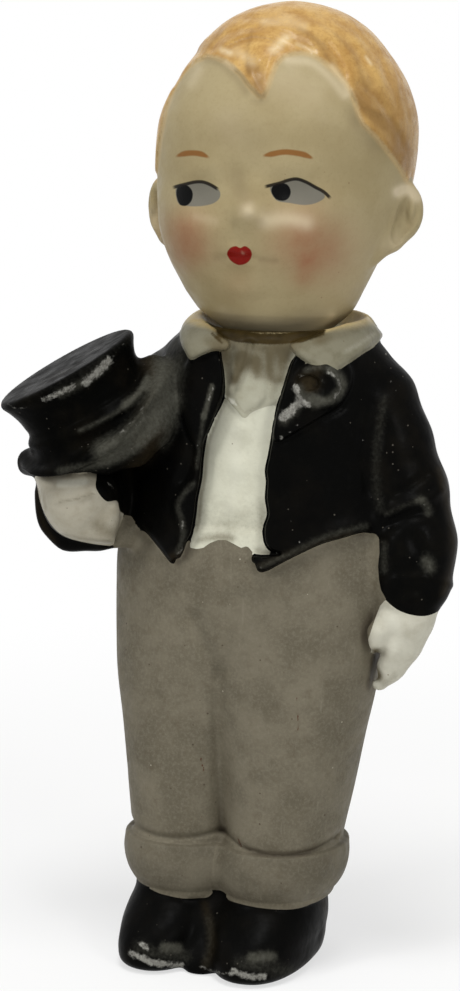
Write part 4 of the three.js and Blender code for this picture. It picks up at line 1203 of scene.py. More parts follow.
def bodyRules(found, points, place):
    p = flat(points, place)
    i = {row[0]: number for number, row in enumerate(bodyForms)}
    shirt, legs, neck = i["shirt_torso"], i["trousers"], i["collar"]
    # the shirt's lower edge is painted over the trousers' front
    buttons = [i["shirt_button_%d" % k] for k in (1, 2, 3)]
    proud = found[buttons] - np.minimum(found[shirt], found[legs])
    belt = (p.v < 2) & (p.z > 38) & (p.z < 47) & (np.minimum(found[shirt], found[legs]) < 0.6)
    line = waistShape.on(p)
    ground = np.minimum(found[shirt], found[legs])[belt]
    found[shirt, belt] = ground + np.maximum(-line[belt], 0)
    found[legs, belt] = ground + np.maximum(line[belt], 0)
    found[buttons] = np.minimum(found[shirt], found[legs]) + proud
    # the coat's black runs down the wall of its opening
    wall = np.clip(openingShape.on(p) + 0.4, 0, 0.4) * (p.v < 0)
    for row in (shirt, i["necktie"]):
        found[row] += wall
    # the cuffs' edges are painted too
    for side, paint, share in (("right", handPaint, 1.0), ("left", cuffShape, -0.5)):
        hand, sleeve = i[side + "_hand"], i[side + "_sleeve"]
        here = np.minimum(found[hand], found[sleeve])
        rest = np.delete(found, (hand, sleeve), 0).min(0)
        over = (here < rest) & (here < 0.5) & (p.z < 50) & (p.v < (-4.5 if side == "right" else 1.5))
        over &= (p.z < 41) | (side == "right")
        line = paint.on(p)[over] * share
        found[hand, over], found[sleeve, over] = line, -line
    # beside the hands the trousers' grey begins
    beside = np.minimum(besideRight.on(p), besideLeft.on(p))
    arms = [i[name] for name in ("right_hand", "right_sleeve", "left_hand", "left_sleeve")]
    near = found.min(0)
    over = (beside < 0.5) & (found[arms].min(0) <= near) & (p.v < 2) & (p.z < 44)
    found[legs, over] = near[over] + np.maximum(beside[over], 0)
    for row in arms:
        found[row, over] += np.maximum(-beside[over], 0)
    # the seat's own surface is the shirt's, up to the collar
    bowl = np.abs(seatCut(p)) < 0.22
    inner = bowl & (found[neck] > -0.3)
    found[:, bowl] = np.maximum(found[:, bowl], 3.0)
    found[neck, bowl] = 0.0
    found[shirt, bowl] = np.where(inner[bowl], -1.0, 1.0)
    return found


def headRules(found, points, place):
    p = flat(points, place)
    area = hairArea(p)
    inside = np.abs(headCut(p)) < 0.25
    near = np.minimum(earForm(p, 1), earForm(p, -1))
    area = np.where(inside, 2.0, np.maximum(area, 0.35 - near))
    found[0], found[1] = -area * 0.5, area * 0.5
    return found


def neighbours(quads):
    # pairs of faces that share an edge
    a = quads.ravel()
    b = np.roll(quads, -1, axis=1).ravel()
    key = np.minimum(a, b) * (quads.max() + 1) + np.maximum(a, b)
    face = np.repeat(np.arange(len(quads)), 4)
    order = np.argsort(key, kind="stable")
    key, face = key[order], face[order]
    same = key[1:] == key[:-1]
    return np.stack([face[:-1][same], face[1:][same]], 1)


def tidyLabels(labels, quads, count):
    # single faces of another paint go to the paint round them
    pairs = neighbours(quads)
    for again in range(4):
        votes = np.zeros((len(quads), count), np.int16)
        np.add.at(votes, (pairs[:, 0], labels[pairs[:, 1]]), 1)
        np.add.at(votes, (pairs[:, 1], labels[pairs[:, 0]]), 1)
        best = votes.argmax(1)
        lone = votes[np.arange(len(quads)), labels] <= 1
        labels = np.where(lone & (votes.max(1) >= 2), best, labels)
    # islands smaller than a speck go to what is round them
    for again in range(2):
        group = np.arange(len(quads))
        alike = pairs[labels[pairs[:, 0]] == labels[pairs[:, 1]]]
        for sweep in range(400):
            least = np.minimum(group[alike[:, 0]], group[alike[:, 1]])
            before = group.copy()
            np.minimum.at(group, alike[:, 0], least)
            np.minimum.at(group, alike[:, 1], least)
            group = group[group]
            if (before == group).all():
                break
        sizes = np.bincount(group, minlength=len(quads))
        small = sizes[group] < 40
        if not small.any():
            break
        votes = np.zeros((len(quads), count), np.int32)
        unlike = pairs[labels[pairs[:, 0]] != labels[pairs[:, 1]]]
        np.add.at(votes, (group[unlike[:, 0]], labels[unlike[:, 1]]), 1)
        np.add.at(votes, (group[unlike[:, 1]], labels[unlike[:, 0]]), 1)
        labels = np.where(small & (votes[group].max(1) > 0), votes[group].argmax(1), labels)
    return labels


def snapBorders(points, quads, labels, forms, place, rules, field, low, step):
    # the points between two paints move on to the line between them
    count = len(forms)
    touches = np.zeros((len(points), count), bool)
    for k in range(4):
        touches[quads[:, k], labels] = True
    border = np.flatnonzero(touches.sum(1) == 2)
    pair = touches[border].argsort(1, kind="stable")[:, -2:]
    rows = np.arange(len(border))

    def gap(at):
        near = nearness(at, forms, place, rules)
        return near[pair[:, 0], rows] - near[pair[:, 1], rows]

    for again in range(2):
        at = points[border]
        normal = unit(steepest(field, low, step, at))
        here = gap(at)
        lean = np.stack([(gap(at + np.eye(3)[k] * 0.06) - here) / 0.06 for k in range(3)], 1)
        lean -= (lean * normal).sum(1, keepdims=True) * normal
        size = np.maximum((lean**2).sum(1), 0.02)
        move = -(here / size)[:, None] * lean
        far = np.linalg.norm(move, axis=1, keepdims=True)
        move *= np.minimum(1, 0.6 * step / np.maximum(far, 1e-9))
        at = at + move
        back = toSurface(field, low, step, at)
        back *= np.minimum(1, 0.3 * step / np.maximum(np.linalg.norm(back, axis=1, keepdims=True), 1e-9))
        points[border] = at + back
    return points


def closedPatch(points, normals, quads, field, low, step):
    # one paint's faces with a thickness, up to 0.9 mm, so that it is a closed piece
    used, inverse = np.unique(quads, return_inverse=True)
    faces = inverse.reshape(-1, 4)
    outer, out = points[used], normals[used]
    room = -sampled(field, low, step, outer - 1.2 * out) * 0.7
    inner = outer - out * np.clip(room, 0.12, 0.9)[:, None]
    count = len(used)
    a, b = faces.ravel(), np.roll(faces, -1, axis=1).ravel()
    forward, backward = a * count + b, b * count + a
    lone = ~np.isin(forward, backward)
    rim = np.stack([b[lone], a[lone], a[lone] + count, b[lone] + count], 1)
    everything = np.concatenate([faces, faces[:, ::-1] + count, rim])
    return used, np.concatenate([outer, inner]), np.concatenate([out, -out]), everything


def bodyToRow(points):
    x = points[:, 0] + leanSlope * points[:, 2] + figureAxis[0]
    return np.stack([x, points[:, 1] + figureAxis[1], points[:, 2]], 1)


def bodyNormalToRow(n):
    return unit(np.stack([n[:, 0], n[:, 1], n[:, 2] - leanSlope * n[:, 0]], 1))


def headToRow(points):
    x, y, z = headPlace(points[:, 0], points[:, 1], points[:, 2])
    return np.stack([x + figureAxis[0], y + figureAxis[1], z], 1)


def headNormalToRow(n):
    c, s = math.cos(math.radians(headTurn)), math.sin(math.radians(headTurn))
    return np.stack([c * n[:, 0] - s * n[:, 1], s * n[:, 0] + c * n[:, 1], n[:, 2]], 1)


def newMesh(name, points, faces, normals, marks=None):
    # points in mm; faces of four corners
    mesh = bpy.data.meshes.new(name)
    mesh.vertices.add(len(points))
    mesh.vertices.foreach_set("co", (np.asarray(points) * mm).astype(np.float32).ravel())
    mesh.loops.add(faces.size)
    mesh.loops.foreach_set("vertex_index", faces.astype(np.int32).ravel())
    mesh.polygons.add(len(faces))
    mesh.polygons.foreach_set("loop_start", np.arange(0, faces.size, 4, dtype=np.int32))
    mesh.polygons.foreach_set("use_smooth", np.ones(len(faces), bool))
    for mark, values in (marks or {}).items():
        layer = mesh.attributes.new(mark, "FLOAT", "POINT")
        layer.data.foreach_set("value", np.asarray(values, np.float32))
    mesh.update(calc_edges=True)
    mesh.validate()
    mesh.normals_split_custom_set_from_vertices(normals.astype(np.float32))
    piece = bpy.data.objects.new(name, mesh)
    bpy.context.scene.collection.objects.link(piece)
    return piece


def towardsView(place, p):
    # from each point to where the photograph is taken from
    azimuth, distance = math.radians(view["azimuth"]), view["distance"]
    eye = np.array([distance * math.sin(azimuth), -distance * math.cos(azimuth), view["height"]])
    away = eye - np.stack(place(p.u, p.v, p.z), 1)
    return away / np.linalg.norm(away, axis=1, keepdims=True)


def shapeMarks(points, normals, field, low, step):
    # how hollow and how sharp the surface is: dirt and painted shade in hollows, wear on sharp edges
    hollow = 1 - sampled(field, low, step, points + 0.7 * normals) / 0.7
    sharp = 1 + sampled(field, low, step, points - 0.5 * normals) / 0.5
    return {"hollow": np.clip(hollow, 0, 1), "sharp": np.clip(sharp, 0, 1)}


def makePieces(forms, field, low, step, place, rules, toRow, normalToRow, marksOf):
    points, quads, normals = meshed(field, low, step)
    labels = nearness(points[quads].mean(1), forms, place, rules).argmin(0)
    labels = tidyLabels(labels, quads, len(forms))
    points = snapBorders(points, quads, labels, forms, place, rules, field, low, step)
    normals = unit(steepest(field, low, step, points))
    marks = shapeMarks(points, normals, field, low, step)
    p = flat(points, place)
    facing = (normalToRow(normals) * towardsView(place, p)).sum(1)
    marks.update(marksOf(p, step01(facing / 0.3)))
    made = {}
    for i, (name, box, form, soft) in enumerate(forms):
        used, at, out, faces = closedPatch(points, normals, quads[labels == i], field, low, step)
        twice = {key: np.concatenate([value[used], value[used]]) for key, value in marks.items()}
        made[name] = newMesh(name + "_skin", toRow(at), faces, normalToRow(out), twice)
        print(name, len(faces), "faces")
    return made


def threads(lines):
    # for thin brush strokes: how far to the side of the nearest one, and how far past its ends
    low = np.array([-margin, -margin], float)
    gx, gy = np.meshgrid(*(np.arange(side + 2 * margin) - float(margin) for side in view["picture"]))
    best = np.full(gx.shape, 1e9)
    side, past = np.full(gx.shape, farOff), np.full(gx.shape, farOff)
    for points in lines:
        points = curved(points, closed=False)
        steps = np.hypot(*np.diff(points, axis=0).T)
        along = np.concatenate([[0], np.cumsum(steps)])
        for i in range(len(points) - 1):
            a, ab = points[i], points[i + 1] - points[i]
            free = ((gx - a[0]) * ab[0] + (gy - a[1]) * ab[1]) / (ab @ ab)
            t = np.clip(free, 0, 1)
            distance = np.hypot(gx - a[0] - t * ab[0], gy - a[1] - t * ab[1])
            cross = ab[0] * (gy - a[1]) - ab[1] * (gx - a[0])
            place = along[i] + free * steps[i] if i in (0, len(points) - 2) else along[i] + t * steps[i]
            nearer = distance < best
            best = np.where(nearer, distance, best)
            side = np.where(nearer, np.sign(cross) * np.abs(cross) / math.sqrt(ab @ ab), side)
            past = np.where(nearer, np.maximum(-place, place - along[-1]), past)
    return Drawing(low, side / pixelsPerMm, farOff), Drawing(low, past / pixelsPerMm, farOff)


bodyWear = strokes([
    ([(44, 399), (58, 394), (74, 386)], 0.36, 0.72),
    ([(86, 383), (96, 373), (109, 361)], 0.46, 0.9),
    ([(4, 402), (16, 408), (30, 407)], 0.12, 0.45),
    ([(112, 356), (124, 344)], 0.1, 0.4),
    ([(296, 388), (300, 398), (308, 405)], 0.34, 0.78), ([(213, 386), (209, 400)], 0.14, 0.6),
    ([(328, 372), (337, 378), (340, 388), (334, 398)], 0.26, 0.5),
    ([(284, 417), (291, 410), (297, 405)], 0.5, 1.0),
    ([(281, 438)], 0.25, 0.65), ([(290, 432)], 0.15, 0.65), ([(297, 425)], 0.22, 0.55),
    ([(279, 405), (282, 396)], 0.12, 0.5),
    ([(299, 542)], 0.14, 0.8), ([(276, 553)], 0.14, 0.75), ([(291, 522)], 0.1, 0.7), ([(363, 440)], 0.1, 0.75),
    ([(386, 354)], 0.13, 0.8), ([(396, 391)], 0.1, 0.75), ([(391, 381)], 0.09, 0.65),
    ([(262, 568), (257, 566)], 0.12, 0.5),
    ([(204, 416)], 0.14, 0.4), ([(198, 446)], 0.16, 0.5), ([(182, 548), (176, 556)], 0.2, 0.5),
    ([(183, 520), (182, 530)], 0.14, 0.4),
    ([(424, 504), (431, 512)], 0.16, 0.5), ([(430, 566), (436, 571)], 0.2, 0.4),
    ([(107, 482), (116, 490)], 0.12, 0.5), ([(116, 504), (120, 506)], 0.1, 0.45),
    ([(122, 514), (128, 520)], 0.1, 0.45),
    ([(140, 943), (147, 948)], 0.3, 0.7), ([(131, 953), (148, 960), (166, 964), (182, 965)], 0.38, 0.74),
    ([(146, 961), (160, 966)], 0.3, 0.35),
    ([(234, 971), (248, 976), (264, 977)], 0.4, 0.85), ([(284, 979), (300, 974), (314, 968)], 0.25, 0.55),
    ([(200, 966), (216, 972), (230, 974)], 0.2, 0.55),
    ([(152, 938)], 0.12, 0.45), ([(312, 960), (320, 952)], 0.1, 0.4), ([(238, 958), (244, 964)], 0.14, 0.4),
])
# painted sheen on the hat, coat, sleeves, flower and toes, with some scuffs and dust
bodySheenAndScuffs = strokes([
    ([(14, 396), (50, 380), (88, 362), (124, 340)], 1.3, 0.15),  # painted sheen on the top of the hat's crown, where it faces the light, with dust
    ([(60, 394), (84, 382), (106, 366)], 0.5, 0.5),
    ([(80, 431), (97, 423), (120, 410), (138, 393), (147, 377)], 0.3, 0.5),
    ([(163, 366), (160, 392), (150, 416), (129, 437), (104, 450)], 1.1, 0.95),
    ([(176, 400), (172, 424), (164, 446)], 0.7, 0.45),
    ([(60, 471), (100, 464), (134, 450), (156, 428)], 0.5, 0.5),
    ([(148, 350), (166, 344), (180, 336)], 0.7, 0.45),
    ([(182, 352), (176, 384), (166, 420)], 0.9, 0.35),
    ([(312, 398), (326, 401), (338, 394), (342, 382), (334, 370)], 0.5, 0.85),
    ([(300, 388), (304, 400), (316, 404)], 0.5, 0.7),
    ([(306, 370), (318, 367), (330, 370)], 0.4, 0.55),
    ([(284, 420), (296, 408)], 0.6, 0.6),
    ([(212, 386), (208, 402), (204, 416)], 0.24, 1.1), ([(204, 416), (200, 440), (197, 468)], 0.26, 0.45),
    ([(126, 404), (140, 395), (148, 383)], 0.5, 0.55),
    ([(193, 484), (184, 494), (178, 506), (182, 522), (183, 536), (178, 552)], 0.35, 0.48),
    ([(420, 500), (427, 506), (428, 512)], 0.45, 0.6), ([(386, 514), (404, 506), (424, 499)], 0.3, 0.3),
    ([(427, 561), (430, 567)], 0.7, 0.68), ([(384, 545), (384, 570)], 0.5, 0.4),
    ([(384, 400), (378, 440), (376, 480), (380, 508)], 0.6, 0.3),
    ([(262, 566), (290, 554), (325, 537), (366, 526)], 0.4, 0.45),
    ([(140, 948), (160, 955), (184, 957)], 0.9, 0.36), ([(240, 964), (262, 968), (290, 972)], 0.9, 0.36),
    ([(165, 947), (178, 948)], 0.42, 0.95), ([(252, 957), (272, 956)], 0.48, 0.85),
    ([(208, 918), (210, 940), (206, 964)], 0.5, 0.28),
])
bodyBrown = strokes([
    ([(150, 356), (156, 380), (152, 410), (140, 436)], 0.9, 0.6),
    ([(160, 430), (150, 452), (136, 468)], 0.8, 0.35),
    ([(308, 383)], 0.85, 1.3),
    ([(318, 367)], 0.6, 0.7),
    ([(440, 470), (452, 520), (454, 560), (444, 594)], 0.4, 0.4),
    ([(172, 557), (184, 552)], 0.4, 0.4),
    ([(260, 566), (300, 550), (350, 533)], 0.3, 0.3),
    ([(205, 905), (212, 940), (206, 965)], 0.4, 0.35),
    ([(326, 900), (329, 930)], 0.4, 0.5),
    ([(40, 480), (36, 500), (44, 526), (54, 542)], 0.3, 0.3),
])
# stains on the white paint, and painted shade under the chin, down the tie's sides, in the hands' creases and
# over the shirt's lower part
bodyStainsAndShade = strokes([
    ([(222, 338), (245, 343), (265, 346), (292, 345), (320, 340)], 0.6, 0.45),
    ([(205, 322), (214, 330), (224, 338)], 0.5, 0.35),
    ([(320, 340), (345, 333), (362, 325)], 0.6, 0.5), ([(352, 308), (362, 318)], 0.6, 0.5),
    ([(226, 351), (255, 355), (284, 351)], 1.5, 0.52), ([(246, 364), (264, 372)], 0.95, 0.36),
    ([(222, 352), (226, 368), (230, 380)], 0.8, 0.5),
    ([(284, 354), (281, 378)], 0.65, 0.6), ([(256, 360), (257, 376)], 0.5, 0.35),
    ([(276, 382), (272, 396)], 0.5, 0.35), ([(270, 356), (270, 378)], 0.45, 0.45),
    ([(242, 356), (239, 370), (236, 380)], 0.5, 0.6),
    ([(236, 401), (244, 412), (256, 407)], 0.14, 0.4),
    ([(198, 541), (212, 538), (230, 539)], 0.42, 0.4), ([(228, 526)], 0.9, 0.16),
    ([(205, 470), (201, 500), (197, 530)], 0.3, 0.25),
    ([(262, 500), (262, 535)], 0.4, 0.2),
    ([(258, 551), (266, 554), (276, 553)], 0.5, 0.5),
    ([(205, 518), (230, 528), (262, 520)], 2.0, 0.3), ([(98, 526), (114, 534), (124, 524)], 0.9, 0.55),
    ([(206, 340), (214, 347)], 0.6, 0.4),
    ([(376, 652), (373, 664), (378, 676)], 0.45, 1.0),
    ([(60, 502), (76, 499), (94, 493)], 0.16, 0.5),
    ([(62, 534), (84, 539), (110, 542)], 0.22, 0.45),
    ([(42, 492), (46, 510)], 0.3, 0.35),
    ([(384, 684), (394, 676)], 0.5, 0.35),
])
# painted highlights on the shirt, tie, collar and hands, with a painted glint on the tie
bodyPaintedHighlights = strokes([
    ([(234, 430), (236, 470), (230, 510)], 1.0, 0.35),
    ([(222, 394), (229, 399), (236, 405)], 0.1, 0.9), ([(233, 401)], 0.2, 1.0),
    ([(250, 398), (258, 402)], 0.5, 0.25),
    ([(60, 484), (84, 482)], 0.5, 0.6),
    ([(392, 618), (398, 634), (392, 650)], 0.8, 0.5),
    ([(345, 352), (362, 342), (374, 334)], 0.4, 0.3),
])
bodyGlue = strokes([
    ([(222, 333), (240, 337), (270, 339), (300, 337), (320, 332)], 0.46, 1.2),
    ([(324, 329), (338, 322), (350, 312)], 0.3, 0.3), ([(204, 318), (212, 326), (222, 332)], 0.3, 0.45),
    ([(236, 336), (270, 339), (300, 337)], 0.4, 0.7),
    ([(212, 334), (222, 343)], 0.2, 0.6),
])
# painted shadow lines under the turn-ups' top edges
turnUpShadowLine = strokes([
    ([(131, 818), (146, 830), (166, 836), (188, 837), (206, 833), (218, 828)], 0.1, 0.5),
    ([(226, 832), (242, 846), (262, 853), (285, 855), (310, 850), (330, 840), (347, 828)], 0.1, 0.75),
])
bodyFleck = strokes([
    ([(163, 618)], 0.1, 0.8), ([(201, 758), (204, 772)], 0.09, 0.9),
    ([(296, 692), (298, 715), (298, 740)], 0.07, 0.7),
    ([(226, 795)], 0.1, 0.8), ([(285, 803)], 0.09, 0.8), ([(310, 655)], 0.1, 0.7), ([(332, 643)], 0.09, 0.7),
    ([(280, 760)], 0.08, 0.7), ([(190, 828)], 0.1, 0.7), ([(247, 675)], 0.08, 0.7), ([(184, 860)], 0.1, 0.7),
    ([(170, 640)], 0.08, 0.6), ([(178, 700), (179, 712)], 0.06, 0.6), ([(236, 712)], 0.08, 0.6),
    ([(262, 640), (262, 652)], 0.06, 0.6),
    ([(345, 610), (346, 622)], 0.06, 0.6), ([(352, 560), (350, 572)], 0.07, 0.6),
    ([(330, 560), (331, 574)], 0.06, 0.5), ([(206, 690)], 0.07, 0.6),
    ([(318, 840), (312, 846)], 0.08, 0.6), ([(238, 838), (241, 846)], 0.09, 0.8),
    ([(196, 815), (206, 818)], 0.07, 0.6), ([(262, 820)], 0.08, 0.6),
    ([(148, 868)], 0.09, 0.7), ([(255, 875)], 0.09, 0.7), ([(292, 672)], 0.08, 0.7), ([(188, 760)], 0.07, 0.6),
])
blackSmear = strokes([
    ([(222, 346), (219, 356)], 0.1, 0.5),
    ([(284, 388), (290, 374)], 0.1, 0.5),
    ([(196, 500), (193, 520)], 0.12, 0.5),
    ([(276, 432), (270, 450)], 0.12, 0.45),
    ([(382, 608), (378, 618)], 0.12, 0.5),
])


def bodyMarks(p, facing):
    front = facing * (p.v < 3)
    neckOut = np.hypot(p.u, p.v - neckBack)
    joint = step01((p.z - 58.9) / 0.8) * step01((7.9 - neckOut) / 0.5) * step01((-4.6 - p.v) / 1.5)
    return {
        "wear": bodyWear.on(p) * front,
        # painted sheen, with some scuffs
        "scuff": bodySheenAndScuffs.on(p) * front,
        "brown": np.clip(bodyBrown.on(p), 0, 1) * front,
        # stains and painted shade
        "stain": bodyStainsAndShade.on(p) * (p.v < 3),
        "amber": step01((p.z - 60.5) / 0.6) * step01((9.4 - neckOut) / 1.2),
        "glue": bodyGlue.on(p) * (p.v < 0) + 0.8 * joint,
        # painted highlights
        "clean": bodyPaintedHighlights.on(p) * front,
        "fleck": bodyFleck.on(p) * front,
        # painted shadow line
        "line": turnUpShadowLine.on(p) * front,
        "black": blackSmear.on(p) * front,
    }


facePaint = {
    "lashes": [
        [(172, 188), (178, 186), (186, 184), (195, 182), (203, 182), (211, 185), (219, 190)],
        [
            (264, 187), (272, 185), (280, 183), (289, 180), (297, 179), (306, 182),
            (315, 187), (324, 192), (331, 199),
        ],
    ],
    "brows": [
        [(175, 157), (183, 154), (192, 153), (201, 154), (210, 158)],
        [(262, 156), (272, 154), (284, 152), (296, 153), (305, 155), (314, 159)],
    ],
    "pupils": [
        [
            (177, 188), (180, 185), (187, 185), (192, 190), (193, 196),
            (191, 202), (186, 206), (180, 205), (177, 199), (176, 193),
        ],
        [
            (272, 187), (276, 184), (284, 183), (289, 186), (291, 192),
            (289, 198), (284, 201), (277, 200), (273, 196), (271, 191),
        ],
    ],
    "whites": [
        [
            (176, 187), (186, 184), (200, 182), (210, 185), (219, 190),
            (220, 197), (214, 203), (202, 206), (188, 206), (178, 203),
        ],
        [
            (270, 187), (282, 183), (297, 179), (308, 183), (320, 190),
            (325, 197), (316, 203), (304, 205), (290, 203), (276, 200),
        ],
    ],
    "lips": [
        (227, 253), (230, 248), (236, 246), (240, 248), (245, 246), (250, 249), (252, 254), (250, 260),
        (245, 264), (238, 265), (231, 261), (228, 257),
    ],
    "blush": [
        ([(186, 232), (189, 248)], 2.0, 0.62), ([(304, 240), (318, 248)], 2.9, 0.6),
        ([(306, 262), (303, 277)], 0.9, 0.3), ([(238, 282)], 1.6, 0.12),
    ],
    # the glue line under the chin, and painted shade in the ears' bowls
    "stain": [
        ([(200, 324), (216, 332), (240, 336), (270, 338),
          (300, 338), (324, 334), (340, 325), (350, 312)], 0.2, 0.7),
        ([(326, 326), (338, 321)], 0.25, 0.9),
        ([(399, 226), (404, 212)], 0.4, 0.25),
        ([(158, 215), (158, 235)], 0.3, 0.4),
    ],
    # painted light along the chin's underside
    "jaw": [
        ([(204, 316), (216, 323), (232, 327), (250, 329),
          (280, 330), (304, 329), (322, 324), (332, 316)], 0.35, 0.85),
    ],
}
lashSide, lashPast = threads(facePaint["lashes"])
browSide, browPast = threads(facePaint["brows"])
pupilShapes = [outline(points) for points in facePaint["pupils"]]
whiteShapes = [outline(points) for points in facePaint["whites"]]
lipShape = outline(facePaint["lips"])
blushShape = strokes(facePaint["blush"])
neckStainAndEarShade = strokes(facePaint["stain"])
jawLightStrokes = strokes(facePaint["jaw"])
# painted highlights on the nose, cheeks, ears, lips and hair, and painted light on the forehead, under the chin
# and on the right jaw
paintedFaceLight = strokes([
    ([(248, 211)], 0.7, 0.7), ([(266, 221), (286, 219), (306, 223)], 0.75, 0.66),
    ([(196, 217), (214, 221)], 0.5, 0.22),
    ([(398, 192), (407, 189), (417, 197)], 0.5, 1.4), ([(388, 246), (398, 240)], 0.9, 0.35),
    ([(153, 208), (154, 226)], 0.5, 0.35), ([(225, 120), (232, 134)], 1.2, 0.1),
    ([(285, 84), (310, 92)], 1.8, 0.2),
    ([(288, 60), (312, 63), (330, 78), (344, 96)], 0.4, 0.45), ([(199, 70), (192, 84)], 0.5, 0.3),
    ([(243, 253)], 0.12, 0.35),
    ([(222, 50), (230, 53)], 0.3, 0.7), ([(238, 52), (252, 62)], 0.5, 0.35),
    ([(226, 62), (234, 68)], 0.25, 0.45), ([(274, 50), (286, 38)], 0.45, 0.7),
    ([(265, 22), (285, 20), (304, 26)], 0.45, 0.3), ([(366, 57), (371, 64)], 0.14, 0.7),
    ([(332, 66), (342, 80), (348, 94)], 0.3, 0.4),
    ([(297, 44), (316, 52)], 0.2, 0.45), ([(222, 316), (250, 324), (300, 324), (332, 314)], 0.8, 0.36),
    ([(352, 238), (340, 284)], 2.4, 0.1),
])
faceShade = strokes([
    ([(238, 176), (240, 190), (247, 200)], 0.9, 0.4),
    ([(206, 58), (222, 65), (238, 80), (246, 92)], 0.4, 0.45),
    ([(268, 90), (263, 101), (254, 101)], 0.3, 0.3),
    ([(262, 261), (274, 262)], 0.4, 0.35), ([(216, 259), (224, 258)], 0.35, 0.35),
    ([(358, 118), (364, 134), (374, 146)], 0.8, 0.35),
    ([(232, 126), (250, 140)], 1.8, 0.26), ([(200, 196)], 1.2, 0.1), ([(350, 110), (356, 122)], 0.6, 0.25),
    ([(396, 218), (400, 208)], 0.4, 0.3),
])
# painted shade on the hair's right side and under the forelock, and darker streaks along the strands
hairDark = strokes([
    ([(402, 96), (412, 130), (408, 165)], 1.3, 0.4),
    ([(366, 90), (378, 112), (392, 140), (400, 162)], 1.4, 0.6),
    ([(252, 68), (260, 79), (262, 92)], 0.75, 0.6), ([(196, 50), (204, 44)], 0.4, 0.4),
    ([(300, 36), (320, 46)], 0.8, 0.25),
    ([(222, 30), (212, 42), (204, 55)], 0.25, 0.4), ([(252, 32), (247, 52), (249, 74)], 0.22, 0.4),
    ([(256, 84), (261, 97)], 0.4, 0.55), ([(300, 28), (318, 42), (332, 64)], 0.25, 0.35),
    ([(325, 56), (345, 80)], 0.3, 0.4), ([(352, 94), (366, 110), (384, 124)], 0.5, 0.55),
    ([(166, 110), (164, 125), (160, 150)], 0.3, 0.35), ([(181, 76), (190, 66)], 0.2, 0.3),
    ([(335, 34), (354, 56), (366, 90)], 0.2, 0.3), ([(392, 120), (404, 150)], 0.4, 0.35),
])


def headMarks(p, facing):
    front = p.v < 1
    fading = step01((3 - p.v) / 4)
    area = hairArea(p)
    return {
        "eyeWhite": np.where(front, np.minimum(*(shape.on(p) for shape in whiteShapes)), 5.0),
        "pupil": np.where(front, np.minimum(*(shape.on(p) for shape in pupilShapes)), 5.0),
        "lash": np.where(front, lashSide.on(p), 5.0),
        "lashEnd": np.where(front, lashPast.on(p), 5.0),
        "brow": np.where(front, browSide.on(p), 5.0),
        "browEnd": np.where(front, browPast.on(p), 5.0),
        "lips": np.where(front, lipShape.on(p), 5.0),
        "blush": np.clip(blushShape.on(p), 0, 1) * fading,
        # the neck's glue line, painted shade in the ears, and darker paint low on the head where it faces away
        "stain": neckStainAndEarShade.on(p) * facing * (p.z < 1.5) + 0.5 * step01((1.5 - p.z) / 4.5) * (1 - facing),
        # painted light under the chin
        "jaw": np.clip(jawLightStrokes.on(p), 0, 1) * fading,
        "hairDark": np.clip(hairDark.on(p), 0, 0.8) * fading,
        "hairEdge": np.clip(-area / 0.8, 0, 1),
        "hairNear": bell(area, 0.32) * fading,
        # painted highlights and painted light
        "light": np.clip(paintedFaceLight.on(p), 0, 1) * facing * fading,
        "shade": np.clip(faceShade.on(p), 0, 1) * facing * fading,
    }


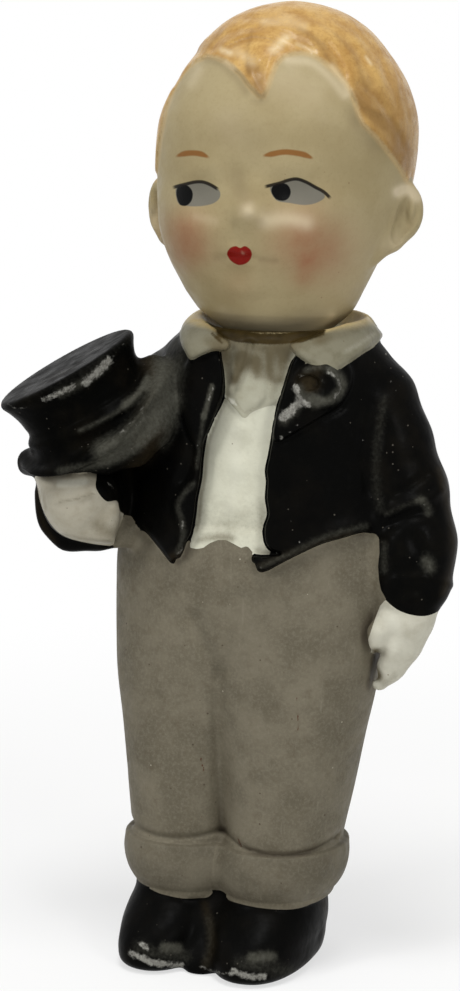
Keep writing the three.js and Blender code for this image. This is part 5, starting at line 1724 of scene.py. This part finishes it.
class Finish:
    # a material put together from noises, marks on the mesh and blends
    def __init__(self, name, specular):
        self.material = bpy.data.materials.new(name)
        self.material.use_nodes = True
        self.nodes, self.links = self.material.node_tree.nodes, self.material.node_tree.links
        self.shader = self.nodes["Principled BSDF"]
        self.shader.inputs["Specular IOR Level"].default_value = specular
        self.place = self.nodes.new("ShaderNodeTexCoord").outputs["Object"]
        self.colour = self.normal = None

    def put(self, socket, value):
        if isinstance(value, bpy.types.NodeSocket):
            self.links.new(value, socket)
        elif isinstance(value, tuple) and len(value) == 3 and socket.type == "RGBA":
            socket.default_value = (*value, 1)
        else:
            socket.default_value = value

    def moved(self, stretch, offset=(0, 0, 0)):
        node = self.nodes.new("ShaderNodeMapping")
        self.links.new(self.place, node.inputs["Vector"])
        node.inputs["Scale"].default_value = stretch
        node.inputs["Location"].default_value = offset
        return node.outputs["Vector"]

    def noise(self, size, detail=4, rough=0.55, twist=0.0, stretch=(1, 1, 1), offset=(0, 0, 0)):
        # size is that of one patch, in mm
        node = self.nodes.new("ShaderNodeTexNoise")
        self.links.new(self.moved(stretch, offset), node.inputs["Vector"])
        node.inputs["Scale"].default_value = 1000 / size
        node.inputs["Detail"].default_value = detail
        node.inputs["Roughness"].default_value = rough
        node.inputs["Distortion"].default_value = twist
        return node.outputs["Fac"]

    def specks(self, apart, size, share, offset=(0, 0, 0)):
        # small dots, in only a share of their cells
        node = self.nodes.new("ShaderNodeTexVoronoi")
        self.links.new(self.moved((1, 1, 1), offset), node.inputs["Vector"])
        node.inputs["Scale"].default_value = 1000 / apart
        chance = self.nodes.new("ShaderNodeSeparateColor")
        self.links.new(node.outputs["Color"], chance.inputs["Color"])
        chosen = self.span(chance.outputs["Red"], share, share + 0.01, 1, 0)
        wide = self.math("MULTIPLY", chance.outputs["Green"], size / apart)
        near = self.math("SUBTRACT", wide, node.outputs["Distance"])
        return self.math("MULTIPLY", self.span(near, 0, 0.35 * size / apart), chosen)

    def span(self, value, low, high, first=0.0, last=1.0):
        node = self.nodes.new("ShaderNodeMapRange")
        node.interpolation_type = "SMOOTHSTEP"
        self.put(node.inputs["Value"], value)
        for name, number in (("From Min", low), ("From Max", high), ("To Min", first), ("To Max", last)):
            node.inputs[name].default_value = number
        return node.outputs["Result"]

    def math(self, kind, a, b=0.0):
        node = self.nodes.new("ShaderNodeMath")
        node.operation = kind
        self.put(node.inputs[0], a)
        self.put(node.inputs[1], b)
        return node.outputs["Value"]

    def plus(self, *values):
        total = values[0]
        for value in values[1:]:
            total = self.math("ADD", total, value)
        return total

    def times(self, a, b):
        return self.math("MULTIPLY", a, b)

    def blend(self, share, a, b):
        node = self.nodes.new("ShaderNodeMix")
        node.data_type = "RGBA"
        node.clamp_factor = True
        self.put(node.inputs[0], share)
        self.put(node.inputs[6], a)
        self.put(node.inputs[7], b)
        return node.outputs[2]

    def mark(self, name):
        node = self.nodes.new("ShaderNodeAttribute")
        node.attribute_name = name
        return node.outputs["Fac"]

    def broken(self, name, grain, amount):
        # a mark whose edge the grain breaks up
        return self.plus(self.mark(name), self.times(self.plus(grain, -0.5), amount))

    def paint(self, share, colour):
        self.colour = self.blend(share, self.colour, colour)

    def bump(self, height, rise):
        # rise in mm
        node = self.nodes.new("ShaderNodeBump")
        node.inputs["Strength"].default_value = 1.0
        node.inputs["Distance"].default_value = rise * mm
        self.links.new(height, node.inputs["Height"])
        if self.normal:
            self.links.new(self.normal, node.inputs["Normal"])
        self.normal = node.outputs["Normal"]

    def done(self, roughness):
        self.put(self.shader.inputs["Base Color"], self.colour)
        self.put(self.shader.inputs["Roughness"], roughness)
        self.links.new(self.normal, self.shader.inputs["Normal"])
        return self.material


def blackEnamel(name, gloss=0.24, brown=0.35, dust=0.5, edges=0.2, specular=0.02):
    f = Finish(name, specular=specular)
    cloud = f.noise(3.2, 4)
    fine = f.noise(0.35, 5, 0.65)
    browner = f.times(f.span(cloud, 0.42, 0.75), brown)
    f.colour = f.blend(browner, (0.0016, 0.0016, 0.0014), (0.006, 0.005, 0.0034))
    f.paint(f.times(f.mark("brown"), f.span(fine, 0.2, 0.7, 0.5, 1.0)), (0.03, 0.022, 0.011))
    haze = f.times(f.span(f.noise(0.9, 5, 0.7), 0.5, 0.8), 0.15)
    f.paint(haze, (0.008, 0.008, 0.007))
    # painted sheen in grey, with some scuffs
    sheenShare = f.span(f.broken("scuff", fine, 0.45), 0.05, 0.95)
    f.paint(f.times(sheenShare, 0.9), f.blend(f.span(fine, 0.3, 0.75), (0.042, 0.041, 0.032), (0.066, 0.065, 0.053)))
    specks = f.specks(0.55, 0.11, 0.22)
    f.paint(f.times(specks, dust), (0.11, 0.1, 0.08))
    ragged = f.plus(f.times(f.plus(fine, -0.5), 0.9), f.times(f.plus(f.noise(0.9, 3), -0.5), 0.7))
    edge = f.times(f.span(f.mark("sharp"), 0.42, 0.9), edges)
    bare = f.span(f.plus(f.mark("wear"), edge, ragged), 0.3, 0.8)
    f.paint(f.times(bare, 0.9), f.blend(f.span(fine, 0.3, 0.7), (0.13, 0.125, 0.11), (0.3, 0.295, 0.265)))
    f.bump(f.noise(0.5, 3, 0.5), 0.02)
    f.bump(f.noise(2.6, 2, 0.5), 0.1)
    f.bump(f.times(bare, -1.0), 0.02)
    duller = f.times(bare, 0.4), f.times(sheenShare, 0.2), f.times(specks, 0.2)
    rough = f.plus(f.span(f.noise(1.7, 4), 0.35, 0.7, gloss, gloss + 0.16), *duller)
    return f.done(rough)


def greyPaint(name, tone=1.0):
    f = Finish(name, specular=0.15)
    light, dark = tuple(c * tone for c in (0.155, 0.136, 0.096)), tuple(c * tone for c in (0.108, 0.094, 0.064))
    cloud = f.noise(4.5, 5, 0.6)
    fine = f.noise(0.3, 6, 0.72)
    f.colour = f.blend(f.span(cloud, 0.35, 0.66), dark, light)
    f.paint(f.times(f.span(fine, 0.42, 0.68), 0.5), tuple(c * tone for c in (0.19, 0.17, 0.125)))
    f.paint(f.times(f.span(f.noise(1.3, 5, 0.7, offset=(0.02, 0, 0)), 0.52, 0.74), 0.42), (0.078, 0.062, 0.038))
    # dirt and painted shade in the hollows
    f.paint(f.times(f.span(f.mark("hollow"), 0.3, 0.95), 0.62), (0.075, 0.06, 0.042))
    streak = f.span(f.noise(0.5, 4, 0.6, stretch=(1, 1, 0.1)), 0.62, 0.74)
    f.paint(f.times(streak, 0.3), (0.21, 0.19, 0.145))
    dots = f.specks(0.75, 0.13, 0.28)
    f.paint(f.times(dots, 0.75), (0.045, 0.03, 0.018))
    pale = f.specks(0.9, 0.12, 0.14, offset=(0.011, 0.004, 0.007))
    f.paint(f.times(pale, 0.6), (0.42, 0.39, 0.31))
    f.paint(f.span(f.broken("fleck", fine, 1.2), 0.42, 0.6), (0.07, 0.028, 0.014))
    edge = f.times(f.span(f.mark("sharp"), 0.35, 0.95), 0.3)
    f.paint(edge, (0.2, 0.178, 0.125))
    # painted shadow line under the turn-ups' edges
    f.paint(f.times(f.mark("line"), f.span(fine, 0.35, 0.6, 0.4, 1.0)), (0.045, 0.036, 0.022))
    f.bump(f.noise(0.24, 5, 0.65), 0.018)
    f.bump(f.noise(1.6, 3), 0.05)
    rough = f.span(f.noise(1.1, 4), 0.3, 0.7, 0.5, 0.72)
    return f.done(rough)


def whitePaint(name, clean, soiled, soil=0.4, gloss=0.32):
    f = Finish(name, specular=0.08)
    cloud = f.noise(1.9, 5, 0.62)
    fine = f.noise(0.3, 5, 0.7)
    f.colour = f.blend(f.times(f.span(cloud, 0.4, 0.72), soil), clean, soiled)
    f.paint(f.times(f.span(fine, 0.5, 0.75), 0.25), tuple(c * 0.72 for c in clean))
    # stains, and painted shade
    f.paint(f.span(f.broken("stain", fine, 0.35), 0.06, 1.0), (0.115, 0.096, 0.056))
    # dirt and painted shade in the hollows
    f.paint(f.times(f.span(f.mark("hollow"), 0.45, 1.0), 0.55), (0.15, 0.13, 0.09))
    # aged glue in the seat, painted lighter than glue as painted light against the seat's shadow
    f.paint(f.times(f.mark("amber"), f.span(fine, 0.3, 0.7, 0.95, 0.7)), (0.74, 0.59, 0.3))
    # painted highlights on the white paint
    f.paint(f.span(f.broken("clean", fine, 0.3), 0.1, 1.0), (0.6, 0.59, 0.5))
    glueColour = f.blend(f.span(cloud, 0.35, 0.6), (0.024, 0.016, 0.004), (0.042, 0.028, 0.008))
    f.paint(f.span(f.broken("glue", fine, 0.7), 0.25, 0.75), glueColour)
    dots = f.specks(0.7, 0.1, 0.2)
    f.paint(f.times(dots, 0.6), (0.12, 0.09, 0.055))
    smear = f.span(f.broken("black", fine, 0.9), 0.45, 0.7)
    f.paint(smear, (0.03, 0.026, 0.02))
    f.bump(f.noise(0.3, 4, 0.6), 0.02)
    f.bump(f.noise(1.8, 3), 0.06)
    rough = f.span(f.noise(1.3, 4), 0.35, 0.7, gloss, gloss + 0.25)
    return f.done(rough)


def faceBisque(name):
    f = Finish(name, specular=0.05)
    cloud = f.noise(5, 5, 0.6)
    fine = f.noise(0.35, 5, 0.7)
    f.colour = f.blend(f.span(cloud, 0.35, 0.7), (0.33, 0.272, 0.152), (0.29, 0.233, 0.124))
    near = f.span(f.broken("hairNear", fine, 0.5), 0.2, 1.1)
    f.paint(f.times(near, 0.75), (0.42, 0.3, 0.14))
    f.paint(f.times(f.mark("shade"), 0.8), (0.16, 0.12, 0.066))
    f.paint(f.times(f.span(fine, 0.45, 0.75), 0.3), (0.235, 0.18, 0.095))
    # dirt and painted shade in the hollows
    f.paint(f.times(f.span(f.mark("hollow"), 0.3, 1.0), 0.6), (0.15, 0.1, 0.048))
    f.paint(f.times(f.mark("blush"), f.span(f.noise(1.2, 5, 0.7), 0.2, 0.7, 0.75, 1.0)), (0.26, 0.085, 0.042))
    # the neck's stain, and painted shade in the ears
    f.paint(f.times(f.span(f.broken("stain", fine, 0.8), 0.3, 1.0), 0.85), (0.16, 0.085, 0.03))
    f.paint(f.mark("jaw"), (0.6, 0.5, 0.3))  # painted light: lifts the shaded underside of the chin
    f.paint(f.times(f.specks(0.8, 0.11, 0.16), 0.5), (0.17, 0.1, 0.05))
    f.bump(f.noise(0.3, 4, 0.6), 0.012)
    f.bump(f.noise(2.2, 3), 0.05)
    rough = f.span(f.noise(1.5, 4), 0.35, 0.7, 0.34, 0.5)
    # the painted features
    white = f.span(f.mark("eyeWhite"), -0.05, 0.05, 1, 0)
    f.paint(f.times(white, 0.85), (0.125, 0.125, 0.112))
    pupil = f.span(f.mark("pupil"), -0.07, 0.03, 1, 0)
    f.paint(pupil, (0.003, 0.003, 0.003))
    lash = f.span(f.math("ABSOLUTE", f.mark("lash")), 0.1, 0.21, 1, 0)
    lash = f.times(lash, f.span(f.mark("lashEnd"), -0.35, 0.05, 1, 0))
    f.paint(f.times(lash, 0.95), (0.008, 0.006, 0.005))
    thin = f.span(f.mark("browEnd"), -1.0, 0.0, 0.0, 0.17)
    brow = f.span(f.plus(f.math("ABSOLUTE", f.mark("brow")), thin), 0.17, 0.35, 1, 0)
    brow = f.times(brow, f.span(f.mark("browEnd"), -0.4, 0.05, 1, 0))
    f.paint(f.times(brow, 0.9), (0.19, 0.075, 0.016))
    lips = f.span(f.broken("lips", fine, 0.1), -0.06, 0.05, 1, 0)
    f.paint(lips, (0.17, 0.008, 0.005))
    # painted highlights and painted light on the skin
    f.paint(f.times(f.mark("light"), 0.8), (0.58, 0.49, 0.34))
    return f.done(f.math("SUBTRACT", rough, f.times(f.plus(lips, pupil), 0.18)))


def hairPaint(name):
    f = Finish(name, specular=0.12)
    cloud = f.noise(2.4, 5, 0.6)
    fine = f.noise(0.3, 5, 0.7)
    f.colour = f.blend(f.span(cloud, 0.35, 0.68), (0.5, 0.315, 0.105), (0.36, 0.2, 0.055))
    f.paint(f.times(f.span(fine, 0.42, 0.72), 0.4), (0.25, 0.125, 0.032))
    # dirt and painted shade in the hollows
    f.paint(f.times(f.span(f.mark("hollow"), 0.08, 0.5), 0.55), (0.2, 0.085, 0.022))
    # painted shade and darker streaks on the hair
    f.paint(f.mark("hairDark"), (0.2, 0.11, 0.035))
    edge = f.span(f.broken("hairEdge", fine, 0.5), 0.0, 0.6, 0.75, 0.0)
    f.paint(edge, (0.4, 0.31, 0.165))
    # painted highlights on the hair
    f.paint(f.times(f.mark("light"), f.span(fine, 0.3, 0.6, 0.6, 1.0)), (0.66, 0.54, 0.34))
    f.paint(f.times(f.specks(0.7, 0.1, 0.16), 0.5), (0.14, 0.07, 0.03))
    f.bump(f.noise(0.3, 4, 0.6), 0.015)
    f.bump(f.noise(1.5, 3), 0.04)
    return f.done(f.span(f.noise(1.2, 4), 0.35, 0.7, 0.24, 0.42))


def pegWood(name):
    f = Finish(name, specular=0.3)
    grain = f.noise(0.5, 5, 0.6, 0.6, stretch=(0.12, 1, 1))
    f.colour = f.blend(f.span(grain, 0.35, 0.65), (0.3, 0.165, 0.07), (0.5, 0.31, 0.14))
    f.paint(f.times(f.span(f.noise(0.12, 3, 0.6, stretch=(0.1, 1, 1)), 0.5, 0.7), 0.5), (0.2, 0.1, 0.04))
    f.bump(grain, 0.05)
    return f.done(0.7)


def elasticBraid(name):
    f = Finish(name, specular=0.3)
    f.colour = f.blend(f.span(f.noise(0.6, 4), 0.35, 0.7), (0.62, 0.55, 0.42), (0.42, 0.35, 0.24))
    f.paint(f.times(f.span(f.noise(0.12, 4, 0.7, stretch=(1, 1, 0.4)), 0.5, 0.72), 0.6), (0.25, 0.19, 0.12))
    f.bump(f.noise(0.1, 3, 0.6), 0.02)
    return f.done(0.8)


finishes = {
    "shoes": blackEnamel("shoeEnamel", gloss=0.34, brown=0.3, dust=0.45, edges=0.25),
    "coat": blackEnamel("coatEnamel", gloss=0.3, brown=0.3),
    "top_hat": blackEnamel("hatEnamel", gloss=0.27, brown=0.7, edges=0.3, specular=0.006),
    "sleeves": blackEnamel("sleeveEnamel", gloss=0.28, brown=0.55),
    "lapel_flower": blackEnamel("flowerEnamel", gloss=0.3, brown=0.8, edges=0.5),
    "trousers": greyPaint("trouserPaint", 0.93),
    "turn_ups": greyPaint("turnUpPaint", 0.8),
    "shirt_torso": whitePaint("shirtPaint", (0.57, 0.565, 0.455), (0.43, 0.415, 0.32), 0.45),
    "collar": whitePaint("collarPaint", (0.19, 0.178, 0.125), (0.12, 0.108, 0.066), 0.6),
    "necktie": whitePaint("tiePaint", (0.38, 0.37, 0.285), (0.28, 0.265, 0.185), 0.5),
    "right_hand": whitePaint("hatHandPaint", (0.36, 0.335, 0.265), (0.25, 0.22, 0.155), 0.5),
    "left_hand": whitePaint("handPaint", (0.48, 0.465, 0.385), (0.34, 0.315, 0.24), 0.5),
    "head": faceBisque("faceBisque"),
    "hair": hairPaint("hairPaint"),
    "head_peg": pegWood("pegWood"),
    "elastic": elasticBraid("elasticBraid"),
}
sharedBy = {
    "turn_ups": "left_turn_up right_turn_up",
    "shirt_torso": "shirt_button_1 shirt_button_2 shirt_button_3",
    "coat": "left_lapel right_lapel",
    "sleeves": "left_sleeve right_sleeve",
    "elastic": "elastic_loop elastic_cord",
}
for finish, names in sharedBy.items():
    finishes.update({name: finishes[finish] for name in names.split()})
print("finishes made")

# The peg in the head, the elastic's loop round it, and the strand down to its knot, in the part's own frame.
stringing = {
    "axis": (3.36, 1.22),
    "pegHeight": 63.05,
    "pegRadius": 0.78,
    "pegHalf": 4.0,
    "loopRadius": 1.6,
    "cord": 0.48,
    "loopFoot": 55.08,
    "cordTop": 54.78,
    "footX": -1.07,
    "knot": (1.7, 0.44, 0.56),  # height of its middle, spread and rise
}


def braid(out, angle, along, radius):
    weave = np.maximum(np.abs(np.sin(2.5 * angle + 2.6 * along)), np.abs(np.sin(2.5 * angle - 2.6 * along)))
    return out - radius * (0.88 + 0.12 * weave)


def pegShape(x, y, z):
    dx, dy, dz = x - stringing["axis"][0], y - stringing["axis"][1], z - stringing["pegHeight"]
    angle = np.arctan2(dz, dy) + 0.05 * dx
    cut = np.hypot(dy, dz) - stringing["pegRadius"] + 0.05 * np.abs(np.sin(3.5 * angle)) + 0.08 * bell(dx, 0.7)
    whittled = 0.0024 * dx * dx * (np.abs(dx) > 3)
    return met(cut + whittled, np.abs(dx) - stringing["pegHalf"] + 0.1 * dy, 0.2)


def loopShape(x, y, z):
    dx, dy, dz = x - stringing["axis"][0], y - stringing["axis"][1], z - stringing["pegHeight"]
    across = np.hypot(dy, dz) - stringing["loopRadius"]
    ring = braid(np.hypot(across, dx), np.arctan2(dx, across), 1.6 * np.arctan2(dz, dy), stringing["cord"])
    stem = braid(np.hypot(dx, dy), np.arctan2(dy, dx), z, stringing["cord"])
    stem = met(stem, z - (stringing["pegHeight"] - 1.3), 0.1)
    stem = met(stem, stringing["loopFoot"] + 0.02 - z, 0.1)
    return joined(ring, stem, 0.25)


def cordShape(x, y, z):
    slope = (stringing["axis"][0] - stringing["footX"]) / stringing["cordTop"]
    dx, dy = x - stringing["footX"] - slope * z, y - stringing["axis"][1]
    stem = braid(np.hypot(dx, dy), np.arctan2(dy, dx), z, stringing["cord"])
    stem = met(stem, z - stringing["cordTop"] + 0.02, 0.1)
    stem = met(stem, 1.9 - z, 0.1)
    middle, spread, rise = stringing["knot"]
    t = np.arange(150) * 2 * math.pi / 150
    near = np.full(np.broadcast(x, y, z).shape, farOff)
    cut = np.s_[:, :, : int(np.argmin(np.abs(z[0, 0] - 4)))]
    out = 2 + np.cos(3 * t)
    for a, b, c in zip(out * np.cos(2 * t), out * np.sin(2 * t), np.sin(3 * t)):
        up = (z - middle - rise * c)[:, :, : cut[2].stop]
        away = np.sqrt((x + 0.95 - spread * a) ** 2 + (dy - spread * b) ** 2 + up**2)
        near[cut] = np.minimum(near[cut], away)
    return joined(stem, near - stringing["cord"], 0.15)


def makeStringing():
    made = {}
    for name, form, low, high, step in (
        ("head_peg", pegShape, (-1.0, 0.0, 61.9), (7.8, 2.5, 64.3), 0.085),
        ("elastic_loop", loopShape, (2.5, -1.3, 54.7), (4.3, 3.8, 65.6), 0.075),
        ("elastic_cord", cordShape, (-3.3, -1.1, 0.2), (4.3, 3.6, 55.2), 0.105),
    ):
        x, y, z = makeGrid(low, high, step)
        field = (form(x, y, z) + 0 * (x + y + z)).astype(np.float32)
        points, quads, normals = meshed(field, low, step)
        made[name] = newMesh(name + "_skin", points, quads, normals)
        print(name, len(quads), "faces")
    return made


# the other pieces keep still
bodyOf = {"head": "head", "hair": "head", "head_peg": "peg", "elastic_loop": "cord_top"}


def settle(pieces):
    for name, piece in pieces.items():
        piece.data.materials.append(finishes[name])
        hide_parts(name)
        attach(piece, bodyOf.get(name, "figure_body"))
    print("settled:", ", ".join(pieces))


bodyWays = bodyPlace, bodyRules, bodyToRow, bodyNormalToRow, bodyMarks
headWays = headPlace, headRules, headToRow, headNormalToRow, headMarks
settle(makePieces(bodyForms, *makeBody(), bodyStep, *bodyWays))
settle(makePieces(headForms, *makeHead(), head["step"], *headWays))
settle(makeStringing())
